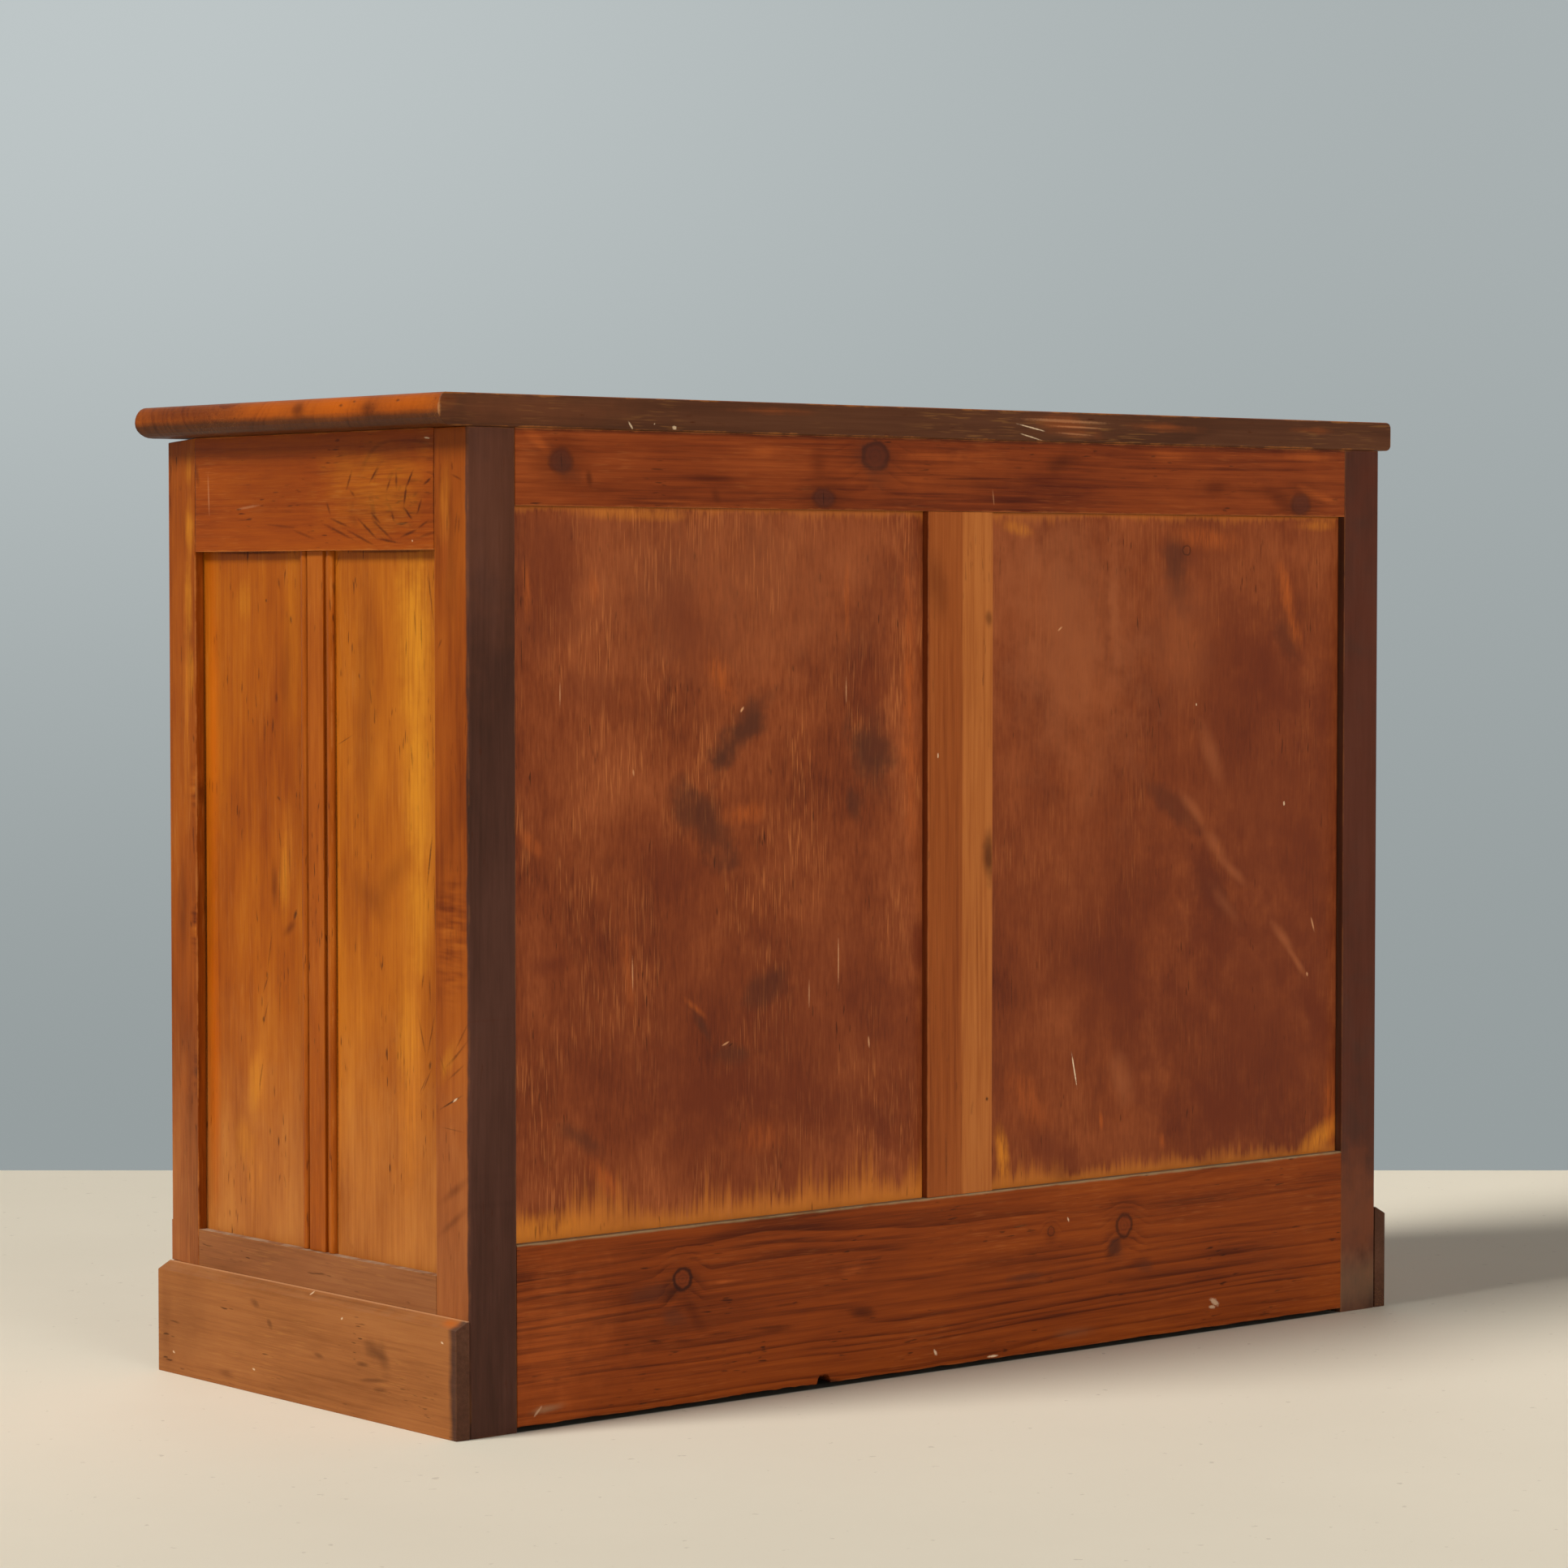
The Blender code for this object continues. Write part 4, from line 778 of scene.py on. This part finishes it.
# plywood panels, stained in place
ply = {
    **redBrown, "along": "z", "heart": (0.0, 0.3), "spacing": 0.02, "short": 5.0,
    "late": 0.0, "fibre": 0.75, "cloud": 1.0, "cloudSize": 0.8, "cloudLong": 1.0, "streak": 0.06,
    "card": [(54, 20, 9), (92, 38, 18), (124, 59, 28), (148, 77, 40), (180, 106, 56)],
    "fleck": (190, 112, 58), "flecks": 0.6, "fringe": (192, 112, 42), "wear": 0.0, "rough": 0.5,
    # painted shade on the panel's top edge, under the back top rail
    "covers": [cover("z", 0.8474, 0.8484, paintedSeamShade)],
}
plyRightMarks = [
    ("light", (280, 780, 260, 100, 0, 35)), ("amber", (500, 185, 60, 15, 0, 60)),
    ("cloud", (220, 330, 240, 140, 0, 45), (484.8, 790.3, 29.5, 57.9, 10, 60), (329.7, 741.1, 24.5, 45.6, -35, 40),
     (440.4, 672.3, 20.4, 38.6, -65, 35)),
    ("smoke", (264, 637.6, 14.5, 50.8, 46, 60), (280.5, 621.7, 12.7, 22.1, 53, 50), (102.7, 615.6, 20.8, 45, -10, 60),
     (99.5, 617.5, 14.2, 30.3, -53, 45), (250.5, 644.2, 10.1, 24.4, 68, 50), (285.5, 612.9, 9.8, 13.1, 71, 50),
     (125, 564.9, 7.9, 20.1, -13, 55)), ("cloud", (104.8, 676.9, 20.2, 46.4, -12, 50)),
    ("smoke", (312.6, 553.3, 19, 48, -41, 65)), ("cloud", (351.8, 506.9, 27.6, 59.1, -50, 55)),
    ("smoke", (233, 393.2, 14.7, 36, 72, 45), (312.4, 359.1, 5.2, 24.3, -33, 60), (273.2, 331.1, 9, 29, 89, 55)),
    ("cloud", (324.7, 294.4, 33, 95.6, -79, 60), (181.7, 284.2, 26.1, 85.8, -71, 50),
     (87.6, 241.7, 10.8, 23.9, -19, 70), (492.7, 427.6, 8.4, 24.8, 84, 60), (38, 418.4, 8.7, 36.9, -2, 70)),
    ("smoke", (457.8, 264.3, 7.6, 29.3, -60, 50)),
    ("warm", (290.4, 688.4, 13.5, 26.6, -34, 55), (260.6, 559.4, 10.6, 28.1, 85, 55), (52.2, 662, 10, 149.2, -1, 60),
     (132.4, 759.7, 3.8, 33.2, -1, 55), (441.1, 773.5, 6.5, 16.3, -8, 40), (518.3, 771.7, 4.7, 25.1, -2, 50),
     (513.3, 539.4, 7.6, 19.7, -50, 40), (401.3, 414, 7.4, 45.8, -6, 35), (428, 222.2, 9.7, 26.2, -42, 55),
     (321.2, 377.4, 3.4, 17.5, -53, 55), (240.6, 249.5, 17.3, 35, -86, 30)),
    ("amber", (389.2, 842.2, 6.7, 78.7, -89, 35)),
    ("scratch", (263.6, 658.7, 1.5, 3.9, 39, 90), (133.3, 674.9, 0.8, 14.6, 0, 70), (143.1, 412.3, 0.9, 27.2, 0, 70),
     (180.2, 382.9, 1.3, 14.5, 0, 40), (396.1, 413, 0.9, 19, -1, 60), (104, 331.3, 1.4, 6.4, -5, 70),
     (480.4, 676.3, 0.8, 12.3, 0, 60), (394.8, 601.9, 1.2, 3.8, -7, 60), (284.2, 341.2, 1.2, 5.4, 68, 70)),
    ("crack", (278.2, 339.7, 1, 3.5, 60, 70), (520.4, 786.5, 0.7, 23.4, 0, 85), (524.4, 716.2, 0.7, 19.6, 0, 60))]
plyRight = {
    **ply, "seed": 3.3, "fringes": [(0.173, 1.0, 0.044, 1.0), (0.849, -1.0, 0.009, 0.5)],
    "marks": plyRightMarks,
}
dress("back_panel_right", plyRight)
plyLeftMarks = [
    ("smoke", (-314.8, 791.3, 14.7, 30.4, -11, 60)), ("cloud", (-460, 687.8, 41.5, 114.1, -57, 60)),
    ("smoke", (-477.7, 722.1, 14.1, 24.6, -36, 40), (-316.7, 545.2, 11, 39.2, -57, 50),
     (-376.5, 452.4, 16.6, 34.4, -42, 50)),
    ("cloud", (-379.5, 437.5, 22.3, 46, -8, 50), (-241.9, 349.9, 40.7, 90.8, -21, 50),
     (-137.2, 212.2, 18.9, 45.6, -48, 60), (-396.2, 228.2, 31.3, 86.5, -79, 70), (-536.3, 306.9, 16.6, 38.6, -35, 60),
     # the cloud at -430, 320 is painted shade: the panel darker low down beside the far post
     (-440, 550, 120, 220, -20, 50), (-430, 320, 160, 160, 0, 60), (-200, 420, 140, 120, 0, 35)),
    ("light", (-155.1, 732.2, 86.5, 159.7, -18, 55), (-300, 720, 70, 70, 0, 25), (-226.3, 761, 7.6, 57.2, -2, 40),
     (-363.7, 604.9, 11.1, 35.6, -29, 40), (-341.5, 544.4, 7, 22.3, -45, 50), (-373.2, 505.4, 8.2, 22.3, -40, 50),
     (-397.3, 479.1, 5.8, 24.6, -53, 45), (-474.9, 404.3, 6.1, 22.8, -42, 60), (-496, 378.3, 4.1, 19.5, -40, 60),
     (-388.5, 443.4, 8.1, 26.1, -42, 30), (-236.5, 271.2, 15.2, 29.3, -24, 55)),
    ("amber", (-89.6, 834.1, 7.6, 26.2, -78, 45)), ("warm", (-359.7, 824.6, 10.8, 55.4, -86, 45)),
    ("amber", (-526.2, 839.4, 6.3, 31.1, 90, 40), (-73.2, 200.9, 9.5, 34.5, -8, 90), (-534, 190, 13.4, 37.9, 62, 90)),
    ("warm", (-477.4, 770.2, 10.4, 31.4, -17, 70), (-489.9, 730.5, 9.9, 24.3, -26, 60),
     (-547.5, 223.7, 10.2, 45.2, -3, 55), (-109, 257.5, 20.2, 40.9, -42, 35), (-209.6, 230.6, 3, 8.9, -6, 70),
     (-296.7, 202.2, 4.6, 8.9, -8, 60)),
    ("chip", (-171.9, 285.5, 1, 18.9, -12, 100), (-344.4, 653.3, 1.1, 1.7, 0, 80), (-475.2, 546.8, 1.4, 2.6, -1, 80)),
    ("scratch", (-519.5, 417.3, 1.4, 8.8, -19, 70), (-150.5, 732.6, 1.2, 4.2, 54, 70),
     (-511.5, 364.6, 1.7, 2.7, -14, 70)), ("crack", (-85.5, 367.3, 0.8, 28.6, -1, 45))]
plyLeft = {
    **ply, "seed": 4.6, "flecks": 0.25, "fibre": 0.55,
    "fringes": [(0.173, 1.0, 0.022, 0.8), (0.849, -1.0, 0.010, 0.5)],
    "knots": [{**ringed, "at": (-329.4, 812.6, 5.5, 4.8), "bend": 0.0, "core": (130, 66, 32), "rimShare": 0.8}],
    "marks": plyLeftMarks,
}
dress("back_panel_left", plyLeft)
print("back dressed")

# front and inside
frontal = {**framing, "specular": 0.2, "cloud": 0.5, "cloudSize": 0.9}
acrossFront = {**frontal, "along": "x", "facing": "y"}
dress("head_rail", {**acrossFront, "seed": 5.2})
dress("sill", {**acrossFront, "seed": 6.1})
dress("plinth_front", {**duller, "along": "x", "facing": "y", "seed": 7.5})
dress("lift_bar", {**acrossFront, "seed": 8.2}, 0.001)
insides = {"bottom_board": ("x", 0.2), "soffit": ("x", 1.7), "false_back": ("z", 2.8), "shelf": ("x", 4.4)}
for name, (along, seed) in insides.items():
    dress(name, {**plainFir, "along": along, "seed": seed})
for name in ("lift_knob_right", "lift_knob_left"):
    dress(name, {**frontal, "along": "y", "facing": "y", "seed": 3.1}, 0.0003)
topBoardMarks = [
    ("light", (520, 935, 110, 14, 0, 12)),
    ("scratch", (-146.7, 940.9, 2, 64.3, -89, 35), (-163.2, 935.2, 1.2, 42.1, -89, 40),
     (-160.3, 928.2, 1.2, 28.1, -88, 30)),
    ("warm", (237.1, 941.7, 3.4, 50.1, 90, 30), (-291.9, 937.2, 4.8, 46.6, -89, 30),
     (-501.1, 939.2, 3.4, 30.8, 90, 30), (-151.9, 936.2, 10.5, 42.5, -84, 30)),
    ("chip", (406.5, 924.5, 1.2, 4.7, -38, 60), (378.3, 926.3, 1, 0.6, -52, 60), (354.7, 923.4, 2.2, 3, -76, 60),
     (-100.1, 933.4, 0.8, 21.3, -80, 70), (-99.6, 924.1, 0.8, 16.3, -78, 60))]
topBoard = {
    **framing, "along": "x", "facing": "y", "seed": 9.9, "surface": (0.2555, 40.0), "heart": (0.05, 0.09),
    "spacing": 0.011, "wander": 0.03, "short": 1.0, "late": 0.22, "cloud": 0.45, "cloudSize": 1.2,
    "covers": [
        # painted shade: the top's rounded edge darker on its lower half, which faces down
        cover("z", 0.937, 0.930, [(34, 16, 6), (54, 28, 12), (74, 40, 18), (92, 52, 26), (120, 74, 42)], 0.005, 0.9),
        cover("y", 0.2535, 0.2553, [(50, 27, 16), (65, 37, 23), (82, 48, 30), (97, 60, 39), (126, 84, 58)], 0.001)],
    "marks": topBoardMarks,
    "spots": [  # on the near end: centre and reach on all three axes in mm, strength in percent
        ("glow", (620, -20, 943), (30, 60, 12), 50), ("shade", (620, -170, 942), (50, 90, 14), 90),
        ("glow", (620, 90, 943), (30, 70, 13), 75), ("glow", (620, 200, 943), (30, 50, 12), 60),
        ("blotch", (620, 30, 940), (20, 12, 8), 70), ("blotch", (620, 145, 938), (20, 16, 8), 70),
        ("crack", (622, 100, 942), (20, 4, 2), 60), ("crack", (622, 120, 945), (20, 3, 1.5), 60),
        ("crack", (622, 190, 944), (20, 4, 1.5), 60), ("chip", (624.5, 254.5, 935), (4, 1.4, 7), 15)],
}
dress("top", topBoard)
print("front and inside dressed")

# curtain: slats glued to canvas, which in the real piece fold up behind the head rail; here each is made where its
# part stands
curtain = {"slats": 22, "bend": 0.847, "travel": 0.618, "bottom": 0.1999, "slack": 0.0006}
curtain["keep"] = 1 - curtain["travel"] / (curtain["bend"] - curtain["bottom"] + curtain["slack"])
slatForm = {"hollow": 0.0045, "steps": 12, "grooveDeep": 0.0008, "grooveWide": 0.0050, "uneven": 0.12, "cut": 0.77}
slatLook = {
    **acrossFront, "heart": (0.02, 0.03), "cloud": 0.4, "cloudSize": 1.0, "short": 1.0, "late": 0.3, "fibre": 0.7,
    "wear": 0.3, "arris": 0.0015,
}
grooveCard = [(20, 7, 2), (34, 13, 4), (52, 22, 6), (70, 32, 10), (96, 50, 20)]


def gather(piece):
    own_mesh(piece)


for number in range(1, curtain["slats"] + 1):
    cad = f"slat_{number:02d}"
    low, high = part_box(cad)
    profile = []
    for i in range(slatForm["steps"] + 1):
        t = i / slatForm["steps"]
        profile.append((low.y + slatForm["hollow"] * (2 * t - 1) ** 2, low.z + (high.z - low.z) * t))
    profile += [(high.y, high.z), (high.y, low.z)]
    shape = skin(bmesh.new(), [[(x, y, z) for y, z in profile] for x in (low.x, high.x)])
    stained = 1.0 + slatForm["uneven"] * noise.noise((0.9 * number, 3.1, 0.0))  # no two slats took the stain alike
    card = [[level * stained for level in step] for step in slatLook["card"]]
    wide, deep = slatForm["grooveWide"], slatForm["grooveDeep"]
    grooves = [cover("z", edge + way * wide, edge + way * deep, grooveCard, creep=0.003, share=0.85)
               for edge, way in ((high.z, -1), (low.z, 1))]
    look = {**slatLook, "card": card, "covers": grooves, "seed": slatForm["cut"] * number}
    finish = boardFinish(f"slat{number}Finish", (low, high), look)
    gather(newPiece(f"tambour_{cad}", shape, finish, cad))
print("curtain slats made")

weaveLook = {"threads": 900, "soiled": (176, 156, 120), "clean": (206, 190, 156), "gaps": (150, 130, 96),
             "bump": 0.4, "depth": 0.0003}


def canvasFinish():
    material, shader, coords = newFinish("canvasFinish")
    axes, pitch = split(coords), 2 * math.pi * weaveLook["threads"]
    weave = times(*[calc("SINE", times(axes[i], pitch)) for i in (0, 2)])
    soil = mottle(coords, (9, 9, 9), 4.0, 0.6)
    colour = layer(tone(*weaveLook["soiled"]), tone(*weaveLook["clean"]), ease(soil, 0.3, 0.7))
    colour = layer(colour, tone(*weaveLook["gaps"]), ease(weave, 0.2, 1.0, 0.0, 0.35))
    rough = ease(soil, 0.2, 0.8, 0.75, 0.95)
    feed(shader, {"Base Color": colour, "Roughness": rough,
                  "Normal": bump(weave, weaveLook["bump"], weaveLook["depth"])})
    return material


low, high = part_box("tambour_canvas")
section = [(low.y, low.z), (high.y, low.z), (high.y, high.z), (low.y, high.z)]
cloth = skin(bmesh.new(), [[(x, y, z) for y, z in section] for x in (low.x, high.x)])
canvas = newPiece("curtain_canvas", cloth, canvasFinish(), "tambour_canvas")
gather(canvas)
print("curtain canvas made")

# floor, wall, light and camera
stage = {
    "floor": (240, 229, 206), "crumbs": (176, 158, 132), "paintedUnderShade": (30, 24, 18),
    "crumbShare": 0.35, "paintedUnderShadeShare": 0.92, "paintedUnderShadeX": (0.60, 0.54), "paintedUnderShadeY": (0.2545, 0.2490),
    "floorReach": 14, "floorRough": 0.75, "floorSheen": 0.15,
    "wallLow": (150, 158, 159), "wallHigh": (190, 198, 199), "wallBehind": 1.358, "wallReach": 14, "wallTall": 9,
    "wallPaleAt": 1.6, "wallDim": 0.45,
    "lampsAway": 6, "sky": 0.09, "skyTint": (236, 238, 240), "distance": (170, 178, 181),
}
lamps = {  # toward, spread in degrees, power; a bounce board gives no glare
    "keyLamp": {"toward": (0.71, -0.115, 0.68), "spread": 20, "power": 2.85, "glare": True},
    "fillLamp": {"toward": (0.10, 0.98, 0.10), "spread": 34, "power": 2.3, "glare": False},
    "frontLamp": {"toward": (-0.60, -0.79, 0.10), "spread": 36, "power": 1.0, "glare": False},
}
view = {
    "at": (3.03677, 3.62347, 0.77593), "tilt": math.radians(87.534), "turn": math.radians(140.107),
    "lens": 105.64, "sensor": 36.0,
}


def plate(name, corners, paint):
    mesh = bpy.data.meshes.new(name)
    mesh.from_pydata(corners, [], [(0, 1, 2, 3)])
    mesh.materials.append(paint)
    thing = bpy.data.objects.new(name, mesh)
    bpy.context.scene.collection.objects.link(thing)


def backdropSeen():
    light = put("LightPath").outputs
    mirrored = calc("MAXIMUM", light["Is Glossy Ray"], light["Is Transmission Ray"])
    return calc("MAXIMUM", light["Is Camera Ray"], mirrored)


paint, shader, coords = newFinish("paleFloor")
worn = mottle(coords, (1.6, 1.6, 1.6), 5.0, 0.6)
specks = ease(mottle(coords, (70, 70, 70)), 0.70, 0.76)
darker, lighter = [tone(*[v + step for v in stage["floor"]]) for step in (-2, 1)]
colour = layer(darker, lighter, ease(worn, 0.3, 0.7))
colour = wash(colour, stage["crumbs"], specks, stage["crumbShare"])
x, y = split(coords)[:2]  # painted shade on the floor under the cabinet, seen in the gap below the back
under = times(ease(calc("ABSOLUTE", x), *stage["paintedUnderShadeX"]), ease(calc("ABSOLUTE", y), *stage["paintedUnderShadeY"]))
colour = wash(colour, stage["paintedUnderShade"], under, stage["paintedUnderShadeShare"])
feed(shader, {"Base Color": colour, "Roughness": stage["floorRough"], "Specular IOR Level": stage["floorSheen"]})
r = stage["floorReach"]
plate("floor", [(-r, -r, 0), (r, -r, 0), (r, r, 0), (-r, r, 0)], paint)

# the wall shows only from the side of the camera and takes no light away
ahead = Vector((-math.sin(view["turn"]), math.cos(view["turn"]), 0))
across = Vector((ahead.y, -ahead.x, 0))
foot, reach, rise = ahead * stage["wallBehind"], across * stage["wallReach"], Vector((0, 0, stage["wallTall"]))
paint, shader, coords = newFinish("paleWall")
paint.node_tree.nodes.remove(shader)
# painted light on the glowing wall: paler upward and dimmer toward one side
fall = ease(vec("DOT_PRODUCT", coords, across), -1.0, 1.0, 1.0, stage["wallDim"])
paler = times(ease(split(coords)[2], 0.0, stage["wallPaleAt"]), fall)
colour = layer(tone(*stage["wallLow"]), tone(*stage["wallHigh"]), paler)
glow = put("Emission", {"Color": colour, "Strength": 1.0}).outputs[0]
front = less(1.0, put("NewGeometry").outputs["Backfacing"])
through = put("BsdfTransparent").outputs[0]
mixed = put("MixShader", {0: times(backdropSeen(), front), 1: through, 2: glow})
feed(paint.node_tree.nodes["Material Output"], {"Surface": mixed.outputs[0]})
plate("wall", [foot - reach, foot + reach, foot + reach + rise, foot - reach + rise], paint)

for name, setup in lamps.items():
    lamp = bpy.data.lights.new(name, "SUN")
    lamp.angle, lamp.energy = math.radians(setup["spread"]), setup["power"]
    thing = bpy.data.objects.new(name, lamp)
    bpy.context.scene.collection.objects.link(thing)
    thing.location = Vector(setup["toward"]) * stage["lampsAway"]
    thing.rotation_euler = Vector(setup["toward"]).to_track_quat("Z", "Y").to_euler()
    thing.visible_glossy = setup["glare"]

world = bpy.data.worlds.new("paleRoom")
bpy.context.scene.world = world
world.use_nodes = True
work["tree"] = world.node_tree
sky = feed(world.node_tree.nodes["Background"], {"Color": tone(*stage["skyTint"]), "Strength": stage["sky"]})
distant = put("Background", {"Color": tone(*stage["distance"]), "Strength": 1.0})
mixed = put("MixShader", {0: backdropSeen(), 1: sky.outputs[0], 2: distant.outputs[0]})
feed(world.node_tree.nodes["World Output"], {"Surface": mixed.outputs[0]})

camera = bpy.data.cameras.new("photoView")
camera.lens, camera.sensor_width, camera.sensor_fit = view["lens"], view["sensor"], "HORIZONTAL"
eye = bpy.data.objects.new("photoView", camera)
bpy.context.scene.collection.objects.link(eye)
eye.location = view["at"]
eye.rotation_euler = (view["tilt"], 0, view["turn"])
bpy.context.scene.camera = eye
bpy.context.scene.view_settings.view_transform = "Standard"
print("stage, light and camera set")
